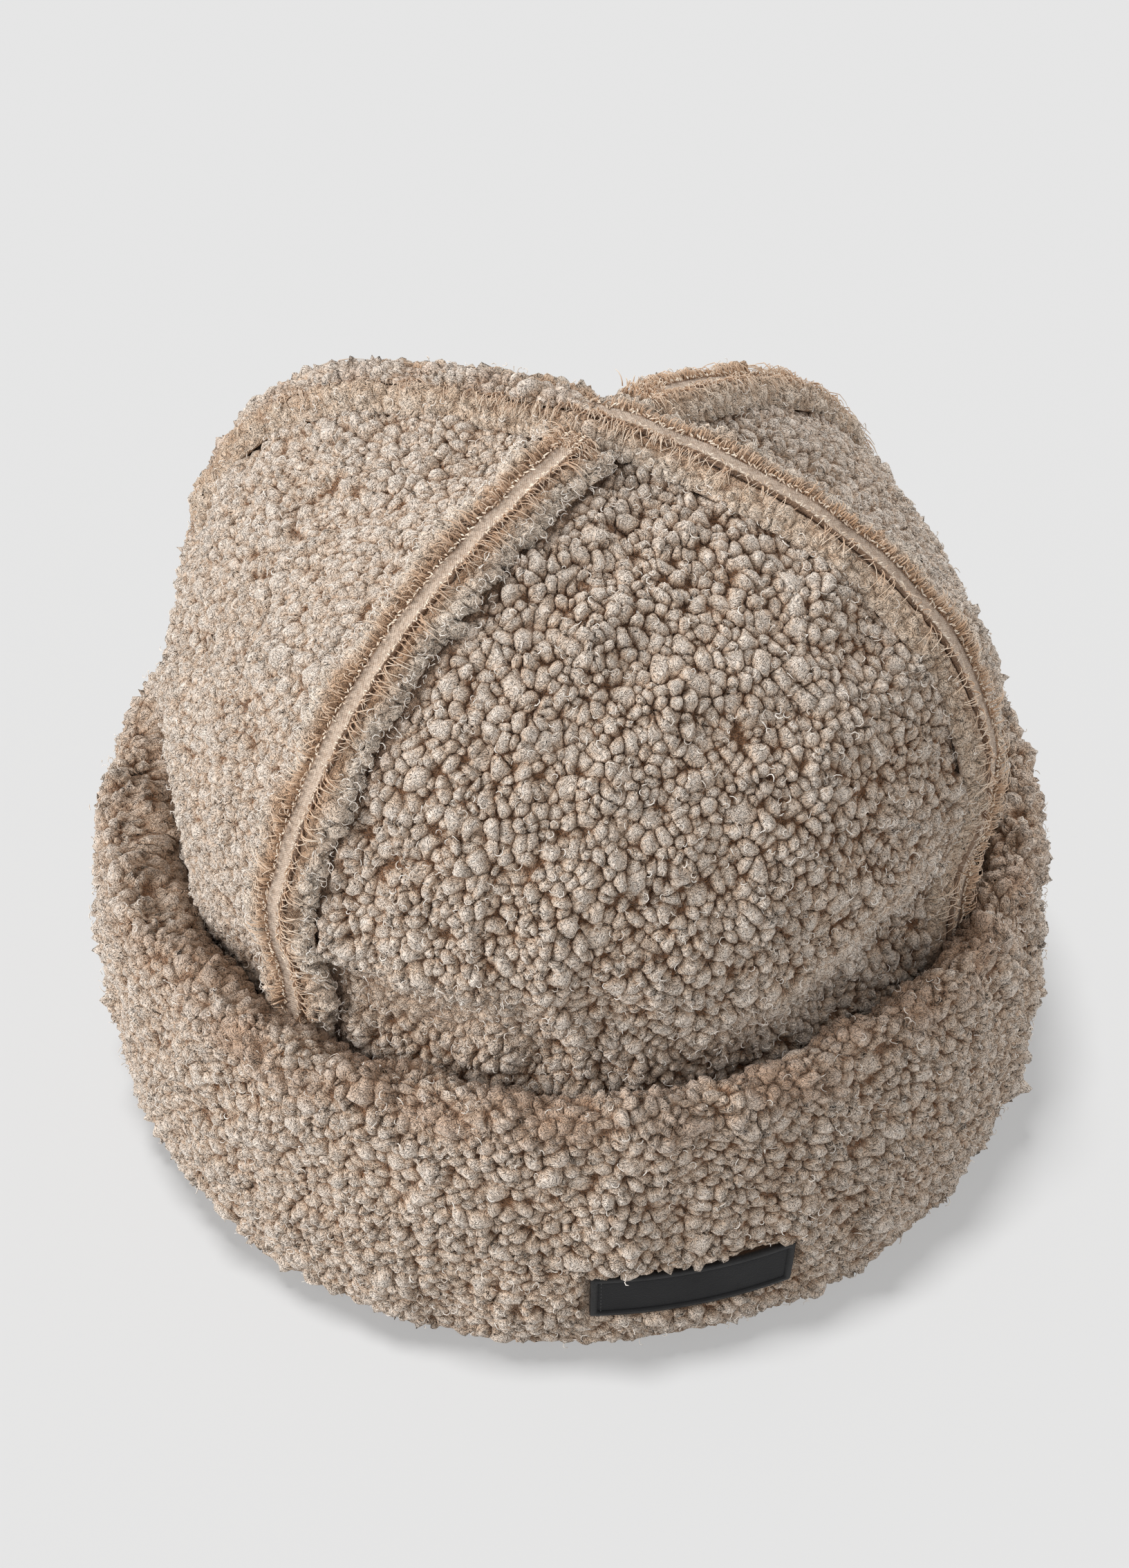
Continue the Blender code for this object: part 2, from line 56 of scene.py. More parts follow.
Pair = tuple[float, float]
Triple = tuple[float, float, float]
Colour = Triple
Socket = bpy.types.NodeSocket
Material = bpy.types.Material
LOG = logging.getLogger("beanie")
PHOTO_SIZE = (1633, 2268)  # the picture's frame, in pixels
SEAM_LENGTH = 0.178  # along a seam, from the panels' lower edge to the crossing
SIDES = 3  # of a tube or a bead
FAR = 1e9  # a distance greater than any on the hat
NEIGHBOURS = tuple((i, j, k) for i in (-1, 0, 1) for j in (-1, 0, 1) for k in (-1, 0, 1))


class Slot(Enum):
    """The material slots of the part."""

    FLEECE = "fleece"
    CUT_PILE = "cut_pile"
    TAPE = "tape"
    PATCH = "patch"


class Edge(Enum):
    """How the ends of a row of points meet."""

    OPEN = 0
    JOINED = 1


class Draw(IntEnum):
    """What is added to a piece's seed, so that each of its random draws is its own."""

    PATCHES = 3
    WARP = 5
    WAVER = 7
    SWELL = 9
    LUMPS = 13
    VECTORS = 17
    ROUGH = 31
    RIDGE = 41
    COVER_RIDGE = 51
    COVER_BROWN = 52
    COVER = 60
    STITCHES = 70
    FRINGE = 90
    TUFT = 120
    WELT_CURLS = 150
    CURLS = 200


def eased(share: Array) -> Array:
    """0 to 1 with level ends: 3s^2 - 2s^3, held at 0 and 1 outside."""
    share = np.clip(share, 0.0, 1.0)
    return share * share * (3 - 2 * share)


def risen(value: Array, start: Array | float, width: float) -> Array:
    """0 up to the start, then a smooth rise to 1 over this width."""
    return eased((value - start) / width)


def unit(vectors: Array) -> Array:
    """The vectors scaled to length 1."""
    return vectors / np.maximum(np.linalg.norm(vectors, axis=-1, keepdims=True), 1e-12)


def dot(one: Array, other: Array) -> Array:
    """Row by row dot product."""
    return np.sum(one * other, axis=-1)


def outward(azimuth: Array) -> Array:
    """Level unit vectors that point out at these azimuths: (sin a, -cos a, 0)."""
    angle = np.radians(azimuth)
    return np.stack([np.sin(angle), -np.cos(angle), np.zeros_like(angle)], axis=-1)


def turned(azimuth: Array, start: float = 0.0) -> Array:
    """The azimuths brought within a full turn above start."""
    return (azimuth - start) % 360.0 + start


@dataclass(frozen=True)
class Curve:
    """A smooth line through knots, each stretch a cubic that doesn't overshoot."""

    keys: tuple[float, ...]
    values: tuple[float, ...]

    def at(self, where: Array) -> Array:
        """The line's height at these places.

        Each stretch is a cubic with the harmonic mean of its neighbours' slopes at its two ends.

        Args:
            where: places along the keys, held within them.

        Returns:
            One value for each place.
        """
        keys, values = np.array(self.keys), np.array(self.values)
        steps = np.diff(values) / np.diff(keys)
        before, after = np.append(steps[0], steps), np.append(steps, steps[-1])
        same = before * after > 0
        slopes = np.where(same, 2 * before * after / np.where(same, before + after, 1.0), 0.0)
        where = np.clip(where, keys[0], keys[-1])
        i = np.clip(np.searchsorted(keys, where, "right") - 1, 0, len(steps) - 1)
        width = keys[i + 1] - keys[i]
        u = (where - keys[i]) / width
        ends = (2 * u**3 - 3 * u**2 + 1) * values[i] + (3 * u**2 - 2 * u**3) * values[i + 1]
        return ends + width * ((u**3 - 2 * u**2 + u) * slopes[i] + (u**3 - u**2) * slopes[i + 1])


@dataclass(frozen=True)
class Ripple:
    """Smooth noise over space: a sum of sine waves in seeded directions."""

    length: float
    seed: int
    waves: int = 9
    lengths: Pair = (0.75, 1.35)
    loudness: float = 0.6

    def at(self, points: Array) -> Array:
        """The noise at the points, mostly between -1 and 1.

        The value is the sum of sin(k.p + phase) over the waves, over the root of half their number.

        Args:
            points: places, one row each.

        Returns:
            One value for each point.
        """
        rng = np.random.default_rng(self.seed)
        ways = unit(rng.normal(size=(self.waves, 3)))
        numbers = 2 * math.pi / (self.length * rng.uniform(*self.lengths, self.waves))
        phases = rng.uniform(0, 2 * math.pi, self.waves)
        total = np.sin(points @ (ways * numbers[:, None]).T + phases).sum(axis=-1)
        return total / math.sqrt(self.waves / 2) * self.loudness

    def vectors(self, points: Array) -> Array:
        """Three such noises at once, as vectors."""
        each = [Ripple(self.length, self.seed + Draw.VECTORS * i, self.waves).at(points) for i in (1, 2, 3)]
        return np.stack(each, axis=-1)

    def over(self, grid: Array) -> Array:
        """The noise over a grid of points."""
        return self.at(grid.reshape(-1, 3)).reshape(grid.shape[:-1])


@dataclass(frozen=True)
class Seam:
    """A seam of the crown: azimuth at its foot and at the crossing, and the dome's power there."""

    foot: float
    top: float
    fullness: float

    def azimuth(self, station: Array) -> Array:
        """The seam's azimuth at these stations."""
        return self.foot + (self.top - self.foot) * eased(station)


@dataclass(frozen=True)
class Dent:
    """A dent or fold: place and spread as azimuths and shares of the height; a negative depth swells."""

    azimuth: float
    height: float
    turn: float
    rise: float
    slant: float
    depth: float

    def at(self, azimuth: Array, share: Array) -> Array:
        """How much of the dent is felt: a Gaussian, slanted up along the turn.

        Args:
            azimuth: azimuths of the places.
            share: their heights, as shares of the crown's.

        Returns:
            The depth at each place.
        """
        off = turned(azimuth - self.azimuth, -180.0) / self.turn
        up = (share - self.height - self.slant * off) / self.rise
        return self.depth * np.exp(-off * off - up * up)


# The seams, the panels' middles and the dents are the part's own.
SEAMS = {
    "front_left": Seam(-42.0, -41.0, 2.30),
    "front_right": Seam(64.0, 64.0, 2.20),
    "back_right": Seam(139.0, 139.0, 1.75),
    "back_left": Seam(244.0, 244.0, 2.90),
}
PANEL_FULLNESS = (
    ("front_left", "front_right", 1.90),
    ("front_right", "back_right", 1.48),
    ("back_right", "back_left", 1.15),
    ("back_left", "front_left", 1.90),
)
DENTS = (
    Dent(-20.0, 0.46, 22.0, 0.085, 0.00, 0.055),
    Dent(-14.0, 0.575, 26.0, 0.050, -0.02, -0.020),
    Dent(46.0, 0.46, 16.0, 0.080, 0.06, 0.055),
    Dent(34.0, 0.54, 24.0, 0.050, 0.09, -0.026),
    Dent(10.0, 0.66, 30.0, 0.110, 0.00, -0.015),
    Dent(190.0, 0.93, 34.0, 0.060, 0.00, 0.090),
    Dent(150.0, 0.52, 24.0, 0.090, 0.00, 0.025),
    Dent(262.0, 0.50, 26.0, 0.080, 0.00, 0.030),
)


@dataclass(frozen=True)
class CrownForm:
    """The crown's outer face, as the part has it. Its sizes are the part's own."""

    head_width: float = 0.186
    wall: float = 0.007
    height: float = 0.1925
    shoulder: float = 0.110
    foot: float = 0.0079
    depth_to_width: float = 0.976
    lean: Pair = (0.008, -0.003)
    lean_start: float = 0.08904
    shoulder_station: float = 0.40
    dent_fade: float = 0.30
    wall_line: Curve = Curve((0.0, 0.40, 0.75, 1.0), (0.930, 0.940, 0.962, 1.0))

    @property
    def reach(self) -> float:
        """The crown's half width, pile and all."""
        return self.head_width / 2 + self.wall

    def leaning(self, height: Array) -> Array:
        """How far the crown's middle has moved sideways at these heights."""
        share = eased((height - self.lean_start) / (self.height - self.lean_start))
        return np.stack([self.lean[0] * share, self.lean[1] * share, np.zeros_like(share)], axis=-1)

    def dent(self, azimuth: Array, height: Array) -> Array:
        """How far the fleece is pushed in: the sum of the dents."""
        return self.reach * sum(row.at(azimuth, height / self.height) for row in DENTS)

    def fullness(self, azimuth: Array) -> Array:
        """The dome's power: from seam to seam it runs through the panel's own by a squared cosine.

        Args:
            azimuth: azimuths of the places.

        Returns:
            The power at each.
        """
        power = np.zeros_like(azimuth)
        for start, end, middle in PANEL_FULLNESS:
            left, right = SEAMS[start], SEAMS[end]
            share = turned(azimuth - left.top) / ((right.top - left.top) % 360.0)
            edge = left.fullness + (right.fullness - left.fullness) * eased(share)
            value = middle + (edge - middle) * np.cos(math.pi * share) ** 2
            power = np.where((share <= 1.0) & (power == 0.0), value, power)
        return power

    def plan(self, azimuth: Array) -> Array:
        """The shoulder's reach: a circle drawn in a little from front to back."""
        return self.reach * (1 - (1 - self.depth_to_width) * np.cos(np.radians(azimuth)) ** 2)

    def wall_reach(self, azimuth: Array, height: Array) -> Array:
        """The outer face's distance from the axis, from the floor to the shoulder."""
        return self.plan(azimuth) * self.wall_line.at(height / self.shoulder) - self.dent(azimuth, height)

    def dome_reach(self, azimuth: Array, elevation: Array) -> Array:
        """The outer face's distance from the shoulder's middle: a superellipse less the dents.

        Args:
            azimuth: azimuths of the rays.
            elevation: their elevations, in radians.

        Returns:
            One distance for each ray.
        """
        power, rise = self.fullness(azimuth), self.height - self.shoulder
        across = np.maximum(np.cos(elevation), 0.0) / self.plan(azimuth)
        up = np.maximum(np.sin(elevation), 0.0) / rise
        fade = eased(np.cos(elevation) / self.dent_fade)
        ray = (across**power + up**power) ** (-1 / power)
        return ray - self.dent(azimuth, self.shoulder + rise * np.sin(elevation)) * fade

    def on_wall(self, azimuth: Array, height: Array, lift: Array | float) -> Array:
        """Points under the shoulder, lifted off the outer face."""
        level = outward(azimuth) * (self.wall_reach(azimuth, height) + lift)[..., None]
        return level + height[..., None] * np.array([0.0, 0.0, 1.0]) + self.leaning(height)

    def on_ray(self, azimuth: Array, elevation: Array, lift: Array | float) -> Array:
        """Points above the shoulder, on rays from its middle.

        Args:
            azimuth: azimuths of the rays.
            elevation: their elevations, in radians.
            lift: how far the points lie off the outer face.

        Returns:
            The points.
        """
        reach = self.dome_reach(azimuth, elevation) + lift
        height = self.shoulder + reach * np.sin(elevation)
        level = outward(azimuth) * (reach * np.cos(elevation))[..., None]
        return level + height[..., None] * np.array([0.0, 0.0, 1.0]) + self.leaning(height)

    def point(self, azimuth: Array, station: Array, lift: Array | float = 0.0) -> Array:
        """Points of the crown by azimuth and station.

        Below the shoulder a station is a share of the height, and above it a share of the elevation.

        Args:
            azimuth: azimuths of the points.
            station: 0 at the panels' lower edge and 1 at the crossing.
            lift: how far the points lie off the outer face.

        Returns:
            The points.
        """
        azimuth, station = np.broadcast_arrays(azimuth, station)
        height = self.foot + (self.shoulder - self.foot) * np.minimum(station / self.shoulder_station, 1.0)
        share = (station - self.shoulder_station) / (1 - self.shoulder_station)
        elevation = math.pi / 2 * np.clip(share, 0.0, 1.0)
        low = (station < self.shoulder_station)[..., None]
        return np.where(low, self.on_wall(azimuth, height, lift), self.on_ray(azimuth, elevation, lift))

    def draped(self, points: Array, lift: Array | float) -> Array:
        """The points moved along their rays until they lie this far off the outer face.

        Args:
            points: points near the crown.
            lift: how far off the outer face they are to lie.

        Returns:
            The moved points.
        """
        straight = points - self.leaning(points[..., 2])
        azimuth = np.degrees(np.arctan2(straight[..., 0], -straight[..., 1]))
        level = np.hypot(straight[..., 0], straight[..., 1])
        elevation = np.maximum(np.arctan2(points[..., 2] - self.shoulder, level), 0.0)
        low = (points[..., 2] < self.shoulder)[..., None]
        wall = self.on_wall(azimuth, points[..., 2], lift)
        return np.where(low, wall, self.on_ray(azimuth, elevation, lift))

    def outwards(self, points: Array) -> Array:
        """Unit vectors along the points' rays: level below the shoulder, and from its middle above it.

        Args:
            points: points of the crown.

        Returns:
            One vector for each.
        """
        straight = points - self.leaning(points[..., 2])
        above = np.maximum(straight[..., 2] - self.shoulder, 0.0)
        return unit(np.stack([straight[..., 0], straight[..., 1], above], axis=-1))


AROUND = (0.0, 40.0, 80.0, 100.0, 140.0, 190.0, 240.0, 280.0, 320.0, 360.0)  # azimuths round the cuff
UPWARDS = (0.0, 0.10, 0.24, 0.42, 0.62, 0.80, 1.0)  # shares of its height


@dataclass(frozen=True)
class CuffForm:
    """The turned-up cuff, as the part has it. Its sizes are the part's own."""

    crown: CrownForm = CrownForm()
    height: float = 0.084
    wall: float = 0.0115
    flare: float = 0.006
    foot: float = 0.0075
    seat_gap: float = 0.0004
    tape: float = 0.0009
    room: float = 0.0004
    welt: float = 0.0046
    crest_share: float = 0.90
    crest_line: Curve = Curve(AROUND, (0.98, 0.99, 1.01, 1.01, 1.04, 1.05, 1.02, 0.98, 0.97, 0.98))
    flare_line: Curve = Curve(AROUND, (0.10, 0.05, 0.05, 0.00, 0.30, 0.35, 0.60, 0.70, 0.30, 0.10))
    thickness_line: Curve = Curve(UPWARDS, (0.78, 1.00, 1.16, 1.22, 1.14, 1.03, 0.96))
    room_line: Curve = Curve(UPWARDS, (0.40, 0.74, 1.08, 1.18, 1.12, 0.96, 0.86))

    def crest(self, azimuth: Array) -> Array:
        """Floor to the crest."""
        return self.height * self.crest_line.at(turned(azimuth))

    def reach(self, azimuth: Array, share: Array, side: float) -> Array:
        """The cuff's distance from the axis: the crown's, the seams' room, the flare and the wall together.

        Args:
            azimuth: azimuths of the places.
            share: their heights, as shares of the crest's.
            side: 0 for the inner face and 1 for the outer.

        Returns:
            One distance for each place.
        """
        room = 2 * self.seat_gap + self.welt * self.room_line.at(share) + self.tape + self.room
        flare = self.flare * self.flare_line.at(turned(azimuth)) * share**2
        wall = self.wall * self.thickness_line.at(share)
        return self.crown.wall_reach(azimuth, self.crest(azimuth) * share) + room + flare + wall * side

    def middle(self) -> Array:
        """The middle of the cuff's outline seen from above: the part sets it over the origin."""
        azimuth, share = np.meshgrid(np.arange(0.0, 360.0, 0.5), np.linspace(0.0, self.crest_share, 60))
        rim = outward(azimuth) * self.reach(azimuth, share, 1.0)[..., None]
        return (rim.min(axis=(0, 1)) + rim.max(axis=(0, 1))) / 2


CROWN = CrownForm()
CUFF = CuffForm()
MIDDLE = CUFF.middle()


def crowded(count: int) -> Array:
    """Numbers from -1 to 1 that crowd towards both ends: the sine of even steps."""
    return np.sin(np.linspace(-math.pi / 2, math.pi / 2, count))


def slopes(grid: Array, axis: int, edge: Edge) -> Array:
    """Differences between a grid's neighbours along an axis, taken from both sides.

    Args:
        grid: points by rows and columns.
        axis: 0 down the rows and 1 along the columns.
        edge: how the ends of that axis meet.

    Returns:
        A vector for each point.
    """
    if edge is Edge.JOINED:
        return (np.roll(grid, -1, axis) - np.roll(grid, 1, axis)) / 2
    return np.gradient(grid, axis=axis)


def facing(grid: Array, outwards: Array, joined: tuple[Edge, Edge] = (Edge.OPEN, Edge.OPEN)) -> Array:
    """Unit normals of a grid of points: the cross product of its two slopes, turned to face outwards."""
    normal = unit(np.cross(slopes(grid, 0, joined[0]), slopes(grid, 1, joined[1])))
    return normal * np.where(dot(normal, outwards) < 0, -1.0, 1.0)[..., None]


def quads(rows: int, columns: int, joined: tuple[Edge, Edge] = (Edge.OPEN, Edge.OPEN)) -> Array:
    """Faces of a grid of points, numbered row by row.

    Args:
        rows: points down the grid.
        columns: points along it.
        joined: how the ends of the rows and of the columns meet.

    Returns:
        Four corner numbers for each face.
    """
    i, k = np.meshgrid(
        np.arange(rows if joined[0] is Edge.JOINED else rows - 1),
        np.arange(columns if joined[1] is Edge.JOINED else columns - 1),
        indexing="ij",
    )
    down, right = (i + 1) % rows, (k + 1) % columns
    corners = (i * columns + k, down * columns + k, down * columns + right, i * columns + right)
    return np.stack(corners, axis=-1).reshape(-1, 4)


def strip(rows: int, columns: int) -> list[Array]:
    """Faces of a closed ring of points carried along a path, with a cap at each end.

    Args:
        rows: rings along the path.
        columns: points in a ring.

    Returns:
        Arrays of faces.
    """
    ring = np.arange(columns)[None, :]
    return [quads(rows, columns, (Edge.OPEN, Edge.JOINED)), ring, ring[:, ::-1] + (rows - 1) * columns]


def make_piece(
    name: str,
    points: Array,
    faces: list[Array],
    finish: Material,
    nodes: tuple[str, ...] = (),
    values: dict[str, Array] | None = None,
) -> bpy.types.Object:
    """Put a surface into a mesh that rides on the part.

    Args:
        name: the piece's name.
        points: its points about the crown's axis, one row each.
        faces: arrays of corner numbers, one row a face; each array may have its own number of corners.
        finish: its material.
        nodes: the part's nodes that the piece stands for.
        values: named numbers, one for each point, that the material reads.

    Returns:
        The new object.
    """
    mesh = bpy.data.meshes.new(name)
    mesh.vertices.add(len(points))
    mesh.vertices.foreach_set("co", (points - MIDDLE).astype(np.float32).ravel())
    sizes = np.concatenate([np.full(len(rows), rows.shape[1]) for rows in faces])
    mesh.loops.add(int(sizes.sum()))
    mesh.loops.foreach_set("vertex_index", np.concatenate([rows.ravel() for rows in faces]).astype(np.int32))
    mesh.polygons.add(len(sizes))
    mesh.polygons.foreach_set("loop_start", (np.cumsum(sizes) - sizes).astype(np.int32))
    mesh.update(calc_edges=True)
    mesh.shade_smooth()
    for key, numbers in (values or {}).items():
        layer = mesh.attributes.new(key, "FLOAT", "POINT")
        layer.data.foreach_set("value", numbers.astype(np.float32).ravel())
    mesh.materials.append(finish)
    piece = bpy.data.objects.new(name, mesh)
    bpy.context.scene.collection.objects.link(piece)
    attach(piece, "root")
    if nodes:
        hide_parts(*nodes)
    LOG.info("%s: %d points, %d faces", name, len(points), len(sizes))
    return piece


@dataclass(frozen=True)
class Cut:
    """How one kind of pile stands up in nubs: its sizes, how they vary, and the domes' form."""

    pitch: float = 0.0027
    height: float = 0.0022
    sunk: float = 0.55
    squeeze: float = 1.35
    warp: float = 0.0007
    swell: float = 0.0009
    over: float = 0.16
    tousle: float = 0.0009
    lumps: float = 0.00038
    rough: float = 0.00009
    round: float = 0.22
    # how much darker the crevices are painted: painted shade over the pile's brown roots
    crevice_shade: float = 1.0
    crowding: float = 0.62  # seeds nearer than this share of the pitch to another are dropped
    stray: float = 0.55
    sizes: float = 0.26
    heights: Pair = (0.70, 1.20)
    ball: float = 0.78
    dome_power: float = 0.85
    lean_power: float = 1.5
    swelling: float = 0.25
    warp_length: float = 0.006
    swell_length: float = 0.019
    lump_length: float = 0.0021
    tip_mix: Triple = (0.75, 0.25, 0.06)  # of the dome's form, its height and the swell
    tip_speckle: float = 0.07
    tip_power: float = 0.8


@dataclass
class Nubs:
    """Pile that stands up in nubs on a surface.

    Seeds are scattered over the surface, at most one to each small cube of space. Every point of the surface
    belongs to the seed that is nearest by a distance of the seed's own: shorter one way than the other. From
    its seed (0) to the border with the next (1) a point rises by a cosine and moves out by a sine, so each
    seed carries a dome with a sharp crevice round it, and each dome leans its own way.
    """

    cut: Cut
    points: Array
    normals: Array
    seed: int
    along: Array | None = None

    def __post_init__(self) -> None:
        """Scatter the seeds, drop those that crowd another, and draw each one's form and lean."""
        rng = np.random.default_rng(self.seed)
        order = rng.permutation(len(self.points))
        places = self.points[order]
        self.low = np.floor(places.min(axis=0) / self.cut.pitch).astype(int) - 1
        self.shape = np.floor(places.max(axis=0) / self.cut.pitch).astype(int) - self.low + 2
        _, first = np.unique(self.cell(places), return_index=True)
        picked = np.sort(first)
        self.seeds, self.ways = places[picked], self.normals[order][picked]
        self.fill()
        crowded = np.zeros(len(self.seeds), bool)
        mine = np.arange(len(self.seeds))
        for step in NEIGHBOURS:
            other = self.beside(self.seeds, step)
            apart = np.linalg.norm(self.seeds - self.seeds[other], axis=-1)
            crowded |= (other >= 0) & (other < mine) & (apart < self.cut.crowding * self.cut.pitch)
        keep = ~crowded
        self.seeds, self.ways = self.seeds[keep], self.ways[keep]
        self.origin = order[picked][keep]
        self.fill()
        count = len(self.seeds)
        level = unit(np.cross(self.ways, rng.normal(size=(count, 3))))
        if self.along is not None:
            axis = self.along[order][picked][keep]
            level = unit(axis + self.cut.stray * level)
        self.axes = level
        self.narrow = rng.uniform(1.0, self.cut.squeeze**2, count)
        self.sizes = np.exp(rng.normal(0.0, self.cut.sizes, count))
        self.heights = rng.uniform(*self.cut.heights, count)
        self.leans = unit(np.cross(self.ways, rng.normal(size=(count, 3))))
        self.leans = self.leans * rng.uniform(0.0, 1.0, (count, 1))

    def cell(self, places: Array) -> Array:
        """Number of the cube of space that each place lies in."""
        at = np.floor(places / self.cut.pitch).astype(int) - self.low
        return (at[..., 0] * self.shape[1] + at[..., 1]) * self.shape[2] + at[..., 2]

    def fill(self) -> None:
        """Note which seed each cube holds, or -1."""
        self.held = np.full(int(np.prod(self.shape)), -1)
        self.held[self.cell(self.seeds)] = np.arange(len(self.seeds))

    def beside(self, places: Array, step: tuple[int, int, int]) -> Array:
        """The seed in the cube that lies this step from each place's own, or -1."""
        number = self.cell(places) + (step[0] * self.shape[1] + step[1]) * self.shape[2] + step[2]
        return self.held[np.clip(number, 0, len(self.held) - 1)]

    def nearest(self, places: Array) -> tuple[Array, Array, Array]:
        """The nearest seed of each place by the seeds' own distances.

        Args:
            places: points on or near the surface.

        Returns:
            The seeds' numbers, their distances and the distances of the next nearest.
        """
        best = np.full(len(places), FAR)
        second = np.full(len(places), FAR)
        who = np.zeros(len(places), int)
        for step in NEIGHBOURS:
            seed = self.beside(places, step)
            gap = places - self.seeds[seed]
            across = dot(gap, self.axes[seed])
            far = np.sqrt(dot(gap, gap) + (self.narrow[seed] - 1) * across**2) / self.sizes[seed]
            far = np.where(seed < 0, FAR, far)
            closer = far < best
            second = np.where(closer, best, np.minimum(second, far))
            who = np.where(closer, seed, who)
            best = np.where(closer, far, best)
        return who, best, second

    def swell(self, places: Array) -> Array:
        """The slow swell that lifts and sinks the pile."""
        return Ripple(self.cut.swell_length, self.seed + Draw.SWELL).at(places)

    def raised(self, calm: Array) -> tuple[Array, Array]:
        """Raise the nubs on the surface.

        A point at a share s of the way from its seed to the border rises by cos(pi s / 2) and is spread out
        by sin(pi s / 2) and a little of sin(pi s).

        Args:
            calm: how much of the pile's height stands at each point, 1 where it is free.

        Returns:
            The moved points, and how near each is to a nub's tip, from 0 in a crevice to 1; the finish paints
            this from dark brown to pale, partly the pile's own brown roots and partly painted shade in the
            crevices.
        """
        cut = self.cut
        bend = Ripple(cut.warp_length, self.seed + Draw.WARP)
        warped = self.points + bend.vectors(self.points) * cut.warp
        who, best, second = self.nearest(warped)
        border = np.clip(2 * best / (best + second), 0.0, 1.0)
        ball = best / (cut.pitch * cut.ball)
        off = np.clip(border + cut.round * (ball - border) * border, 0.0, 1.0)
        gap = warped - self.seeds[who]
        gap -= self.normals * dot(gap, self.normals)[:, None]
        spread = np.sin(math.pi / 2 * off) / np.maximum(off, 0.05) - 1 + cut.over * np.sin(math.pi * off)
        shape = np.cos(math.pi / 2 * off) ** cut.dome_power
        rise = shape * self.heights[who]
        swell = self.swell(self.points)
        lumps = Ripple(cut.lump_length, self.seed + Draw.LUMPS).at(self.points)
        height = cut.height * (rise * (1 + cut.swelling * swell) - cut.sunk)
        height = height + cut.lumps * lumps + cut.swell * swell
        lean = self.leans[who] * (cut.tousle * rise**cut.lean_power)[:, None]
        moved = self.points + (self.normals * height[:, None] + gap * spread[:, None] + lean) * calm[:, None]
        rng = np.random.default_rng(self.seed + Draw.ROUGH)
        moved += rng.normal(size=moved.shape) * (cut.rough * np.minimum(calm, 1.0))[:, None]
        speckle = rng.normal(0.0, cut.tip_speckle, len(moved))
        # Painted shade: a point is painted darker the lower it lies on its nub, and the lower its nub and its
        # swell; partly the pile's own brown roots.
        by_shape, by_rise, by_swell = cut.tip_mix
        mix = by_shape * shape + by_rise * rise + by_swell * swell + speckle
        high = np.clip(mix, 0.0, 1.0) ** cut.tip_power
        # The factor deepens the painted shade in the crevices.
        return moved, 1 - np.minimum((1 - high) * cut.crevice_shade, 1.0)

    def tips(self) -> Array:
        """Where the nubs' tips stand when free.

        Returns:
            One point for each nub.
        """
        cut = self.cut
        out = cut.height * (self.heights - cut.sunk) + cut.swell * self.swell(self.seeds)
        lean = self.leans * cut.tousle * self.heights[:, None] ** cut.lean_power
        return self.seeds + self.ways * out[:, None] + lean


